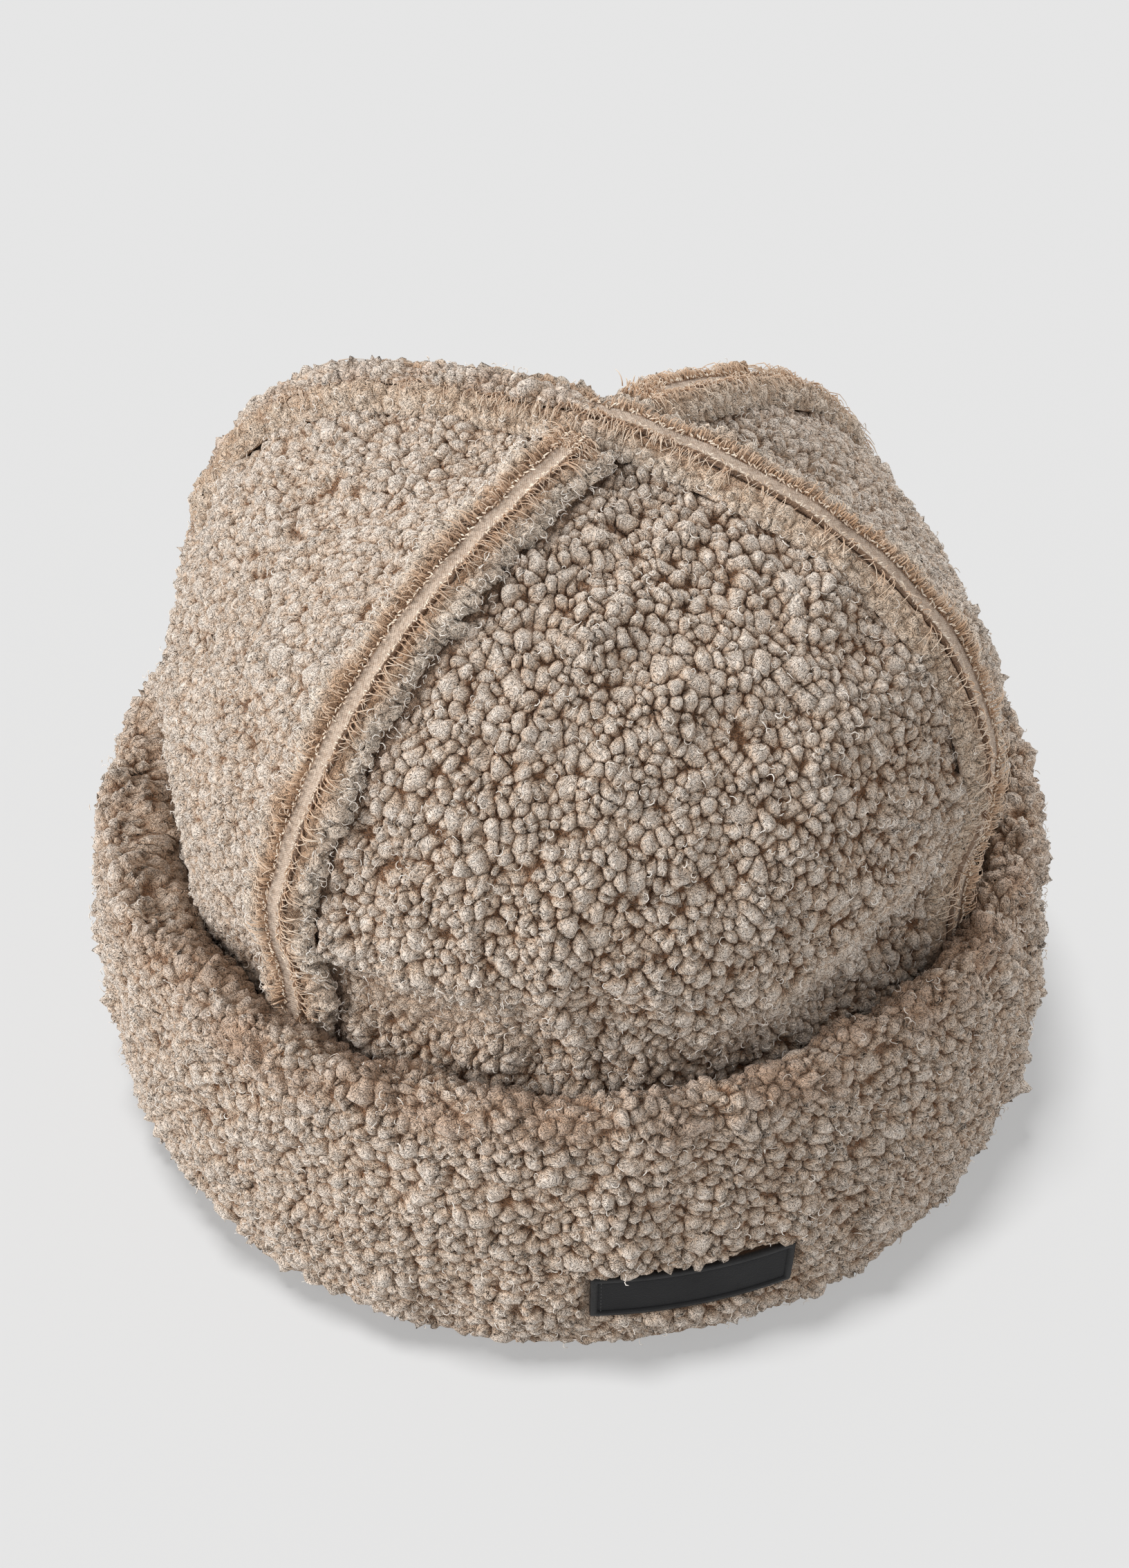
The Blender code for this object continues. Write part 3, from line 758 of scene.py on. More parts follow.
@dataclass(frozen=True)
class Shader:
    """A small builder of node materials."""

    material: Material

    @staticmethod
    def fresh(name: str) -> "Shader":
        """A new material with one Principled shader."""
        made = bpy.data.materials.new(name)
        made.use_nodes = True
        return Shader(made)

    @property
    def tree(self) -> bpy.types.NodeTree:
        """The material's nodes."""
        return self.material.node_tree

    @property
    def surface(self) -> bpy.types.Node:
        """The Principled shader."""
        return self.tree.nodes["Principled BSDF"]

    def plain(self, **values: float | tuple[float, ...]) -> None:
        """Set the shader's own sockets, named with _ for each space."""
        for key, value in values.items():
            self.surface.inputs[key.replace("_", " ")].default_value = value

    def node(
        self, kind: str, inputs: dict[str | int, object] | None = None, **props: object
    ) -> bpy.types.Node:
        """Add a node.

        Args:
            kind: the node's type name.
            inputs: numbers, colours or sockets for its inputs.
            props: the node's own settings.

        Returns:
            The node.
        """
        made = self.tree.nodes.new(kind)
        for key, value in props.items():
            setattr(made, key, value)
        for key, value in (inputs or {}).items():
            if isinstance(value, Socket):
                self.tree.links.new(value, made.inputs[key])
            else:
                made.inputs[key].default_value = value
        return made

    def place(self) -> Socket:
        """Object coordinates."""
        return self.node("ShaderNodeTexCoord").outputs["Object"]

    def number(self, name: str) -> Socket:
        """A number that the mesh carries."""
        return self.node("ShaderNodeAttribute", attribute_name=name).outputs["Fac"]

    def math(self, operation: str, *values: object) -> Socket:
        """One step of arithmetic."""
        return self.node("ShaderNodeMath", dict(enumerate(values)), operation=operation).outputs[0]

    def noise(self, at: Socket, scale: float, detail: float = 2.0) -> Socket:
        """Noise from 0 to 1."""
        made = self.node("ShaderNodeTexNoise", {"Vector": at, "Scale": scale, "Detail": detail})
        return made.outputs["Fac"]

    def about(self, at: Socket, share: float, base: object) -> Socket:
        """The base, moved up and down by this share of a noise."""
        return self.math("MULTIPLY_ADD", self.math("SUBTRACT", at, 0.5), share, base)

    def ramp(
        self, at: Socket, stops: tuple[tuple[float, tuple[float, ...]], ...]
    ) -> Socket:
        """Colours from a row of stops.

        Args:
            at: where on the row each place lies, from 0 to 1.
            stops: places on the row and their colours.

        Returns:
            The colour.
        """
        made = self.node("ShaderNodeValToRGB", {"Fac": at})
        elements = made.color_ramp.elements
        while len(elements) < len(stops):
            elements.new(0.5)
        for element, (where, colour) in zip(elements, stops):
            element.position = where
            element.color = (*colour, 1.0)
        return made.outputs["Color"]

    def mixed(self, share: object, one: object, other: object, blend: str = "MIX") -> Socket:
        """Two colours mixed."""
        made = self.node("ShaderNodeMix", {0: share, 6: one, 7: other}, data_type="RGBA", blend_type=blend)
        return made.outputs[2]

    def bump(self, height: Socket, depth: float, under: object = None) -> Socket:
        """A bump, over another where there is one.

        Args:
            height: the bump's height, from 0 to 1.
            depth: how deep a full step is.
            under: the bump that it lies on.

        Returns:
            The normal.
        """
        inputs = {"Height": height, "Distance": depth, "Strength": 1.0}
        if under is not None:
            inputs["Normal"] = under
        return self.node("ShaderNodeBump", inputs).outputs["Normal"]

    def link(self, socket: Socket, target: str) -> None:
        """Feed a socket of the shader."""
        self.tree.links.new(socket, self.surface.inputs[target])


@dataclass(frozen=True)
class PileFinish:
    """Curly pile: brown in its crevices, partly its own brown roots and partly painted shade, pale on its
    tips, with fine fibres and small curls lightened by painted highlights.
    """

    name: str = "pile"
    # the crevices' colour: the pile's brown roots, darkened as painted shade
    deep: Colour = (0.28, 0.145, 0.075)
    middle: Colour = (0.73, 0.555, 0.415)
    tip: Colour = (0.86, 0.755, 0.655)
    brown: Colour = (0.56, 0.365, 0.245)
    curl: float = 0.0030
    curl_bend: float = 0.0050
    line: float = 0.00085
    lobe: float = 0.0019
    lobe_depth: float = 0.0011
    curl_depth: float = 0.00032
    fibre: float = 0.00075
    fibre_depth: float = 0.0008
    patches: Pair = (45.0, 0.22)  # how fine they are, and how much they tell
    speckles: Pair = (420.0, 0.28)
    stops: Colour = (0.06, 0.40, 0.92)
    fringe_share: float = 0.75
    # how much the curl lines are lightened: a painted highlight
    curl_highlight: Colour = (1.20, 1.22, 1.25)
    fibre_shade: Colour = (0.50, 0.42, 0.35)
    sheen: Colour = (0.95, 0.90, 0.84)

    def made(self) -> Material:
        """The material: noise is the fibre, soft Voronoi cells are the lobes, and bent lines are the curls,
        lightened as painted highlights.

        Returns:
            The material. It reads the numbers tip and brown that the mesh carries.
        """
        shader = Shader.fresh(self.name)
        at = shader.place()
        tip, brown = shader.number("tip"), shader.number("brown")
        patches = shader.noise(at, self.patches[0], 3.0)
        speckle = shader.noise(at, self.speckles[0], 2.0)
        fibre = shader.noise(at, 1 / self.fibre, 3.0)
        shade = shader.about(patches, self.patches[1], tip)
        shade = shader.about(speckle, self.speckles[1], shade)
        # The ramp runs from the crevices' dark brown, partly painted shade, to the pale tips.
        colour = shader.ramp(shade, tuple(zip(self.stops, (self.deep, self.middle, self.tip))))
        # The brown number is the cut pile's own brown, and beside the welts partly painted shadow.
        colour = shader.mixed(shader.math("MULTIPLY", brown, self.fringe_share), colour, (*self.brown, 1.0))
        wool = self.wool(shader, at)
        # Painted highlight: the curl lines are lightened, more on the nubs' tips.
        bright = shader.mixed(1.0, colour, (*self.curl_highlight, 1.0), "MULTIPLY")
        lit = shader.math("MULTIPLY", wool, shader.math("MULTIPLY_ADD", tip, 0.45, 0.10))
        colour = shader.mixed(lit, colour, bright)
        shaded = shader.mixed(1.0, colour, (*self.fibre_shade, 1.0), "MULTIPLY")
        dark = shader.math("MULTIPLY", shader.math("MAXIMUM", shader.math("SUBTRACT", fibre, 0.42), 0.0), 2.4)
        colour = shader.mixed(dark, colour, shaded)
        shader.link(colour, "Base Color")
        cells = {"Vector": at, "Scale": 1 / self.lobe}
        lobes = shader.node("ShaderNodeTexVoronoi", cells, feature="SMOOTH_F1")
        coarse = shader.bump(shader.math("SUBTRACT", 1.0, lobes.outputs["Distance"]), self.lobe_depth)
        curly = shader.bump(wool, self.curl_depth, coarse)
        shader.link(shader.bump(fibre, self.fibre_depth, curly), "Normal")
        shader.plain(Roughness=0.92, Specular_IOR_Level=0.18, Sheen_Weight=0.3, Sheen_Roughness=0.5)
        shader.plain(Sheen_Tint=(*self.sheen, 1.0))
        return shader.material

    def wool(self, shader: "Shader", at: Socket) -> Socket:
        """Curly lines: the crests of two sine waves, run through a noise that bends them.

        Args:
            shader: the material's builder.
            at: places on the pile.

        Returns:
            1 along the lines and 0 between them.
        """
        bend = shader.node("ShaderNodeTexNoise", {"Vector": at, "Scale": 1 / self.curl, "Detail": 1.0})
        moved = shader.node(
            "ShaderNodeVectorMath",
            {0: bend.outputs["Color"], 1: (self.curl_bend,) * 3, 2: at},
            operation="MULTIPLY_ADD",
        )
        lines = []
        for way in ((0.9, 0.3, 0.5), (-0.4, 0.8, 0.6)):
            pair = {0: moved.outputs[0], 1: way}
            along = shader.node("ShaderNodeVectorMath", pair, operation="DOT_PRODUCT")
            turns = shader.math("MULTIPLY", along.outputs["Value"], 2 * math.pi / self.line)
            lines.append(shader.math("MAXIMUM", shader.math("SINE", turns), 0.0))
        return shader.math("POWER", shader.math("MAXIMUM", *lines), 2.0)


@dataclass(frozen=True)
class StrandFinish:
    """Single curls and strands: brown at the root, pale at the tip."""

    name: str
    root: Colour
    tip: Colour

    def made(self) -> Material:
        """The material: a ramp from root to tip, speckled by a noise.

        Returns:
            The material. It reads the number tip that the mesh carries.
        """
        shader = Shader.fresh(self.name)
        speckle = shader.noise(shader.place(), 260.0, 2.0)
        shade = shader.about(speckle, 0.8, shader.number("tip"))
        shader.link(shader.ramp(shade, ((0.0, self.root), (1.0, self.tip))), "Base Color")
        shader.plain(Roughness=0.7, Specular_IOR_Level=0.3, Sheen_Weight=0.2, Sheen_Roughness=0.4)
        return shader.material


@dataclass(frozen=True)
class TapeFinish:
    """Flat sewn tape: a fine weave with ribs along it."""

    name: str = "seam_tape"
    light: Colour = (0.68, 0.55, 0.44)
    dark: Colour = (0.40, 0.285, 0.205)
    hole: Colour = (0.33, 0.21, 0.135)
    half: float = 0.0021
    rib: float = 0.0006
    sewn_from: float = 0.66

    def made(self) -> Material:
        """The material: the weave is a product of sine waves along and across the tape.

        Returns:
            The material. It reads the numbers across and along that the mesh carries.
        """
        shader = Shader.fresh(self.name)
        at = shader.place()
        across = shader.math("SINE", shader.math("MULTIPLY", shader.number("across"), 2 * math.pi / self.rib))
        along = shader.math("SINE", shader.math("MULTIPLY", shader.number("along"), 2 * math.pi / self.rib))
        weave = shader.math("MULTIPLY", across, along)
        fine, broad = shader.noise(at, 1100.0, 3.0), shader.noise(at, 180.0, 3.0)
        worn = shader.math("MULTIPLY_ADD", fine, 0.75, shader.math("MULTIPLY", broad, 0.25))
        shade = shader.math("MULTIPLY_ADD", weave, 0.10, worn)
        colour = shader.ramp(shade, ((0.30, self.dark), (0.62, self.light)))
        edge = shader.math("DIVIDE", shader.math("ABSOLUTE", shader.number("across")), self.half)
        past = shader.math("MAXIMUM", shader.math("SUBTRACT", edge, self.sewn_from), 0.0)
        sewn = shader.math("MULTIPLY", past, 5.0)
        colour = shader.mixed(shader.math("MINIMUM", sewn, 0.85), colour, (*self.hole, 1.0))
        shader.link(colour, "Base Color")
        fuzz = shader.bump(shader.noise(at, 1600.0, 3.0), 0.0004)
        shader.link(shader.bump(weave, 0.00008, fuzz), "Normal")
        shader.plain(Roughness=0.85, Specular_IOR_Level=0.25, Sheen_Weight=0.2)
        return shader.material


@dataclass(frozen=True)
class RubberFinish:
    """Soft matt black rubber with a fine grain and rubbed edges."""

    name: str = "patch_rubber"
    colour: Colour = (0.007, 0.007, 0.008)
    rubbed: Colour = (0.035, 0.034, 0.034)
    backing: Colour = (0.11, 0.062, 0.038)

    def made(self) -> Material:
        """The material: black, paler where its rim is rubbed, with a brown backing.

        Returns:
            The material. It reads the numbers rim and backing that the mesh carries.
        """
        shader = Shader.fresh(self.name)
        at = shader.place()
        worn = shader.math("MULTIPLY", shader.number("rim"), shader.noise(at, 300.0, 4.0))
        colour = shader.mixed(worn, (*self.colour, 1.0), (*self.rubbed, 1.0))
        colour = shader.mixed(shader.number("backing"), colour, (*self.backing, 1.0))
        shader.link(colour, "Base Color")
        grain = shader.noise(at, 2600.0, 2.0)
        shader.link(shader.bump(grain, 0.00012), "Normal")
        rough = shader.math("MULTIPLY_ADD", shader.noise(at, 120.0, 3.0), 0.18, 0.44)
        shader.link(rough, "Roughness")
        shader.plain(Specular_IOR_Level=0.22)
        return shader.material


@dataclass
class Panel:
    """One fleece panel: its place, its grid, and how the seams and the cuff press its pile."""

    name: str
    start: str
    end: str
    finish: Material
    seed: int
    cut: Cut = Cut()
    calms: tuple[Dent, ...] = ()
    # how much the welts of the start and end seams shade the panel: the pile is pressed there, and painted
    # shadow and painted light are set beside the welt
    shadows: Pair = (1.0, 1.0)
    spacing: float = 0.00070
    seen_from: float = 0.20
    hidden_rows: int = 6
    stride: int = 12
    tip_radius: float = 0.0035
    gap: float = 0.0005
    welt_half: float = 0.009
    under_welt: Pair = (0.56, 0.34)  # half of the pressed strip, as shares of the welt's half
    welt_fade: float = 0.38
    out_of_cuff: Pair = (0.050, 0.022)  # where the pile starts to stand, and over what height
    flattest: float = 0.85
    pressed: Pair = (0.0005, 0.0007)
    bank_height: float = 0.0015
    bank_start: Pair = (0.0070, 0.0020)
    bank_end: Pair = (0.0150, 0.0055)
    # A strip beside the welt, on its shaded side, is painted brown: partly the pressed pile's own brown,
    # partly painted shadow under the welt's edge.
    brown_shadow_width: float = 0.005
    brown_shadow_share: float = 0.7
    # tip value of the pressed pile: its least, painted light added where the welt doesn't shade it, and more
    # where it is flattened
    calm_tip: Triple = (0.25, 0.35, 0.30)
    inner_tip: float = 0.5
    curled: float = 0.24
    curls_from: float = 0.07

    def stations(self) -> Array:
        """Stations of the rows: a few where the cuff hides the panel, then evenly up to the tip.

        Returns:
            The stations, from the lower edge to the tip.
        """
        elevation = math.acos(self.tip_radius / (CROWN.height - CROWN.shoulder))
        tip = CROWN.shoulder_station + (1 - CROWN.shoulder_station) * elevation / (math.pi / 2)
        count = int(SEAM_LENGTH / self.spacing / self.stride) * self.stride
        low = np.linspace(0.0, self.seen_from, self.hidden_rows + 1)[:-1]
        high = np.linspace(self.seen_from, tip, count - self.hidden_rows + 1)
        return np.concatenate([low, high])

    def surface(self) -> tuple[Array, Array, Array]:
        """The outer face.

        Returns:
            The grid of points, their azimuths, and their distances to the nearer seam.
        """
        station = self.stations()[:, None]
        left, right = SEAMS[self.start].azimuth(station), SEAMS[self.end].azimuth(station)
        width = turned(right - left)
        edge = CROWN.point(left, station)
        straight = edge - CROWN.leaning(edge[..., 2])
        radius = np.hypot(straight[..., 0], straight[..., 1])
        trim = np.degrees(self.gap / 2 / radius)
        columns = int(math.radians(float(width[0, 0])) * CROWN.reach / self.spacing)
        share = np.linspace(0.0, 1.0, columns)[None, :]
        azimuth = left + trim + (width - 2 * trim) * share
        beside = np.radians(np.minimum(azimuth - left, left + width - azimuth)) * radius
        return CROWN.point(azimuth, np.broadcast_to(station, azimuth.shape)), azimuth, beside

    def build(self) -> Nubs:
        """Make the panel: pile outside, plain inside, with the two faces joined round the edge.

        Returns:
            The nubs, for the curls that stand on them.
        """
        grid, azimuth, beside = self.surface()
        rows, columns = azimuth.shape
        normals = facing(grid, CROWN.outwards(grid))
        height = grid[..., 2]
        at_start = 1 - np.arange(columns)[None, :] / (columns - 1)
        shadow = self.shadows[1] + (self.shadows[0] - self.shadows[1]) * eased(at_start * 3 - 1)
        least, more = self.under_welt
        pressed_half = self.welt_half * (least + more * shadow)
        under_welt = risen(beside, pressed_half, self.welt_half * self.welt_fade)
        in_cuff = risen(height, *self.out_of_cuff)
        flat = sum((spot.at(azimuth, height / CROWN.height) for spot in self.calms), np.zeros_like(height))
        calm = (under_welt * in_cuff * (1 - np.clip(flat, 0.0, self.flattest))).ravel()
        end, fade = self.bank_end
        bank = risen(beside, *self.bank_start) * eased((end - beside) / fade) * (1 - shadow) * in_cuff
        grid = grid + normals * (self.bank_height * bank)[..., None]
        out = normals.reshape(-1, 3)
        up = np.cross(unit(slopes(grid, 1, Edge.OPEN)), normals).reshape(-1, 3)
        nubs = Nubs(self.cut, grid.reshape(-1, 3), out, self.seed, along=unit(np.cross(up, out)))
        outer, tip = nubs.raised(calm)
        least, more = self.pressed
        outer -= out * ((least + more * shadow) * (1 - under_welt)).reshape(-1, 1)
        # Painted shadow beside the welt, as brown, partly the pressed pile's own brown.
        fringe = eased(1 - (beside - self.welt_half) / self.brown_shadow_width) * shadow
        # Painted light: the pressed pile is painted paler where the welt doesn't shade it.
        pressed_tip, sunlit, flattened = self.calm_tip
        plain = (pressed_tip + (sunlit * (1 - shadow) + flattened * flat)) * in_cuff
        tip = tip * calm + plain.ravel() * (1 - calm)
        inner_rows = np.arange(0, rows, self.stride)
        station = self.stations()[inner_rows, None]
        inner = CROWN.point(azimuth[inner_rows], station, -CROWN.wall).reshape(-1, 3)
        first = len(outer)
        inner_faces = quads(len(inner_rows), columns)[:, ::-1] + first
        faces = [quads(rows, columns), inner_faces, *self.rims(rows, columns, first, len(inner_rows))]
        pad = np.full(len(inner), self.inner_tip)
        brown = np.concatenate([fringe.ravel() * self.brown_shadow_share, np.zeros(len(inner))])
        values = {"tip": np.concatenate([tip, pad]), "brown": brown}
        points = np.concatenate([outer, inner])
        make_piece(f"{self.name}_pile", points, faces, self.finish, (self.name,), values)
        return nubs

    def build_curls(self, tubes: "Tubes", nubs: Nubs) -> None:
        """Make the curls on the tips of the nubs that the cuff doesn't hide.

        Args:
            tubes: the maker of the curls' tubes.
            nubs: the panel's nubs.
        """
        places = nubs.tips()
        free = places[:, 2] > self.curls_from
        curls = Curls(tubes, int(free.sum() * self.curled), self.seed + Draw.CURLS)
        curls.build(f"{self.name}_curls", places[free], nubs.ways[free])

    def rims(self, rows: int, columns: int, first: int, inner_rows: int) -> list[Array]:
        """Faces that join the outer face to the inner one, which has a row for each stride of rows.

        Args:
            rows: rows of the outer face.
            columns: columns of both faces.
            first: number of the inner face's first point.
            inner_rows: rows of the inner face.

        Returns:
            Arrays of faces.
        """
        across = np.arange(columns - 1)
        last, last_inner = (rows - 1) * columns, first + (inner_rows - 1) * columns
        low = np.stack([across + 1, across, first + across, first + across + 1], axis=-1)
        top, top_inner = last + across, last_inner + across
        high = np.stack([top, top + 1, top_inner + 1, top_inner], axis=-1)
        block = np.arange(inner_rows - 1)[:, None]
        side = block * self.stride + np.arange(self.stride + 1)[None, :]
        faces = [low, high]
        for column, turn in ((0, 1), (columns - 1, -1)):
            outer = side * columns + column
            inner = first + np.concatenate([block + 1, block], axis=1) * columns + column
            faces.append(np.concatenate([outer, inner], axis=1)[:, ::-turn])
        return faces


@dataclass
class Cuff:
    """The turned-up cuff: a padded band of pile with a pocket for the patch."""

    finish: Material
    seed: int = 41
    cut: Cut = Cut(
        pitch=0.0028, height=0.0030, squeeze=1.35, swell=0.0008, lumps=0.00026, rough=0.00006, crevice_shade=1.25
    )
    inner_fill: Curve = Curve(
        (0.0, 40.0, 90.0, 150.0, 200.0, 240.0, 275.0, 310.0, 335.0, 360.0),
        (0.0008, 0.0008, 0.0020, 0.0030, 0.0036, 0.0068, 0.0090, 0.0074, 0.0036, 0.0008),
    )
    front_columns: int = 448
    back_columns: int = 272
    front_start: float = -97.0
    front_turn: float = 194.0
    outer_rows: int = 92
    crest_rows: int = 22
    inner_rows: int = 12
    hidden_rows: int = 4
    pocket_depth: float = 0.0030
    pocket_slope: float = 0.0012
    row_pitch: float = 0.0062
    row_depth: float = 0.14
    row_bend: float = 2.2
    row_ripple: Ripple = Ripple(0.05, 3)
    crest_lumps: float = 0.0014
    crest_ripple: Ripple = Ripple(0.011, 6)
    ragged: Pair = (0.86, 0.10)
    corner: float = 0.0035
    corner_rows: int = 4
    inner_shares: Triple = (0.66, 0.60, 0.22)  # end of what shows, start and end of the rest
    foot_chamfer: float = 0.2
    core: Triple = (0.6, 0.012, 0.8)  # share, least height and greatest share of the height
    turn_in: Pair = (0.55, 0.5)
    turn_in_height: Pair = (0.045, 0.020)
    hidden_after: float = 4.0
    sunk_calm: float = 0.9
    floor_rise: float = 0.004
    floor_calm: float = 0.3
    off_floor: float = 0.0002
    calm_tip: float = 0.40
    ahead: Triple = (0.35, 10.0, 0.1)
    ahead_fade: float = 0.5
    crest_brown: Triple = (0.85, 0.83, 0.13)
    brown_ripple: Ripple = Ripple(0.02, 8)
    inner_brown: float = 0.45
    curled: float = 0.26
    curls_from: float = 0.003

    def section(self, azimuth: Array) -> tuple[Array, Array]:
        """The cuff's closed outline at each azimuth, one row of it a step.

        It runs up the outer face, over the crest by half an ellipse, down the inner face and along the
        turned-in foot, whose outer corner is rounded by a quarter of a circle.

        Args:
            azimuth: one row of azimuths.

        Returns:
            Distances from the axis and heights, rows by azimuths.
        """
        crest, share = CUFF.crest(azimuth), CUFF.crest_share
        corner = self.corner
        turn = np.linspace(0.0, math.pi / 2, self.corner_rows + 1)[:-1, None]
        low_reach = CUFF.reach(azimuth, corner / crest, 1.0)
        bend = (low_reach - corner * (1 - np.sin(turn)), corner * (1 - np.cos(turn)) + 0 * azimuth)
        up = np.linspace(corner / CUFF.height, share, self.outer_rows)[:, None] + 0 * azimuth
        outer = (CUFF.reach(azimuth, up, 1.0), crest * up)
        inside, outside = CUFF.reach(azimuth, share, 0.0), CUFF.reach(azimuth, share, 1.0)
        angle = np.linspace(0.0, math.pi, self.crest_rows + 2)[1:-1, None]
        middle, half = (inside + outside) / 2, (outside - inside) / 2
        over = (middle + half * np.cos(angle), crest * (share + (1 - share) * np.sin(angle)))
        shown, start, end = self.inner_shares
        down = [np.linspace(share, shown, self.inner_rows), np.linspace(start, end, self.hidden_rows)]
        down = np.concatenate(down)[:, None] + 0 * azimuth
        inner = (CUFF.reach(azimuth, down, 0.0), crest * down)
        wall = CROWN.wall_reach(azimuth, np.full_like(azimuth, CUFF.foot))
        rim, chamfer = wall - CROWN.wall, CUFF.foot * self.foot_chamfer
        reach = np.concatenate([wall + CUFF.seat_gap, rim + chamfer, rim, rim + chamfer])
        height = np.array([1.0, 1.0, 0.5, 0.0])[:, None] * CUFF.foot + 0 * azimuth
        foot = (reach, height)
        parts = (bend, outer, over, inner, foot)
        return np.concatenate([part[0] for part in parts]), np.concatenate([part[1] for part in parts])

    def pocket(self, azimuth: Array, height: Array, patch: "Patch") -> Array:
        """How much of the patch's pocket is felt: 1 on its floor and 0 clear of its sloping sides.

        Args:
            azimuth: azimuths of the places.
            height: their heights.
            patch: the patch that lies in the pocket.

        Returns:
            One share for each place.
        """
        beside = np.abs(np.radians(turned(azimuth - patch.azimuth, -180.0))) * patch.radius()
        above = np.abs(height - patch.lift - patch.height / 2)
        out = np.maximum(beside - patch.width / 2, above - patch.height / 2)
        return 1 - eased((out - CUFF.seat_gap) / self.pocket_slope)

    def build(self, patch: "Patch") -> Nubs:
        """Make the cuff: its section carried once round, with the pile raised on it.

        Args:
            patch: the patch that lies in the pocket.

        Returns:
            The nubs, for the curls that stand on them.
        """
        front = np.arange(self.front_columns) / self.front_columns * self.front_turn
        back = np.arange(self.back_columns) / self.back_columns * (360.0 - self.front_turn)
        azimuth = (np.concatenate([front, back + self.front_turn]) + self.front_start)[None, :]
        reach, height = self.section(azimuth)
        rows = len(reach)
        azimuth = np.broadcast_to(azimuth, reach.shape)
        sunk = self.pocket(azimuth, height, patch)
        outer = np.zeros((rows, 1))
        outer[: self.corner_rows + self.outer_rows] = 1.0
        sunk = sunk * outer
        grid = outward(azimuth) * (reach - self.pocket_depth * sunk)[..., None]
        grid[..., 2] = height
        core_share, lowest, highest = self.core
        middle = (CUFF.reach(azimuth, core_share, 0.0) + CUFF.reach(azimuth, core_share, 1.0)) / 2
        core = outward(azimuth) * middle[..., None]
        core[..., 2] = np.clip(height, lowest, CUFF.height * highest)
        normals = facing(grid, grid - core, (Edge.JOINED, Edge.JOINED))
        crest = CUFF.crest(azimuth)
        row = np.arange(rows)[:, None] + 0 * azimuth
        inner_start = self.corner_rows + self.outer_rows + self.crest_rows
        before, fade = self.turn_in
        turned_in = eased((row - inner_start + self.crest_rows * before) / (self.crest_rows * fade))
        turned_in = turned_in * risen(height, *self.turn_in_height)
        grid -= outward(azimuth) * (self.inner_fill.at(turned(azimuth)) * turned_in)[..., None]
        ragged = risen(height / crest, *self.ragged) * (row <= inner_start)
        grid[..., 2] += self.crest_lumps * ragged * self.crest_ripple.over(grid)
        hidden = eased((row - inner_start - self.hidden_after) / (self.inner_rows - self.hidden_after - 1))
        near_floor = eased(height / self.floor_rise) * (1 - self.floor_calm) + self.floor_calm
        bands = np.sin(2 * math.pi * height / self.row_pitch + self.row_bend * self.row_ripple.over(grid))
        calm = (1 - self.sunk_calm * sunk) * (1 - hidden) * near_floor
        calm = (calm * (1 + self.row_depth * bands * outer)).ravel()
        upwards = np.cross(normals, outward(azimuth + 90.0)).reshape(-1, 3)
        nubs = Nubs(self.cut, grid.reshape(-1, 3), normals.reshape(-1, 3), self.seed, along=upwards)
        points, tip = nubs.raised(calm)
        points[:, 2] = np.maximum(points[:, 2], self.off_floor)
        free = np.clip(calm, 0, 1)
        tip = tip * free + self.calm_tip * (1 - free)
        faces = [quads(rows, azimuth.shape[1], (Edge.JOINED, Edge.JOINED))[:, ::-1]]
        values = {"tip": tip, "brown": self.brown(points, azimuth, height / crest, turned_in)}
        make_piece("cuff_pile", points, faces, self.finish, ("cuff",), values)
        return nubs

    def brown(self, points: Array, azimuth: Array, share: Array, turned_in: Array) -> Array:
        """How brown the pile is: most on the crest in front, and some on the inner face under it.

        Args:
            points: points of the pile.
            azimuth: their azimuths.
            share: their heights, as shares of the crest's.
            turned_in: how far each lies on the inner face.

        Returns:
            One number from 0 to 1 for each point.
        """
        behind, middle, start = self.ahead
        facing_front = np.cos(np.radians(azimuth - middle)).ravel()
        ahead = behind + (1 - behind) * eased((facing_front - start) / self.ahead_fade)
        most, start, fade = self.crest_brown
        patchy = 0.7 + 0.6 * self.brown_ripple.at(points)
        brown = most * ahead * eased((share.ravel() - start) / fade) * patchy
        brown += self.inner_brown * turned_in.ravel() * ahead
        return np.clip(brown, 0, 1)

    def build_curls(self, tubes: "Tubes", nubs: Nubs, patch: "Patch") -> None:
        """Make the curls on the outer face's nubs, clear of the patch.

        Args:
            tubes: the maker of the curls' tubes.
            nubs: the cuff's nubs.
            patch: the patch, which stays bare.
        """
        places = nubs.tips()
        radius = np.hypot(places[:, 0], places[:, 1])
        azimuth = np.degrees(np.arctan2(places[:, 0], -places[:, 1]))
        middle = CUFF.reach(azimuth, np.clip(places[:, 2] / CUFF.crest(azimuth), 0, 1), 0.5)
        clear = self.pocket(azimuth, places[:, 2], patch) < 0.02
        shown = (radius > middle) & (places[:, 2] > self.curls_from) & clear
        curls = Curls(tubes, int(shown.sum() * self.curled), self.seed + Draw.CURLS)
        curls.build("cuff_curls", places[shown], nubs.ways[shown])


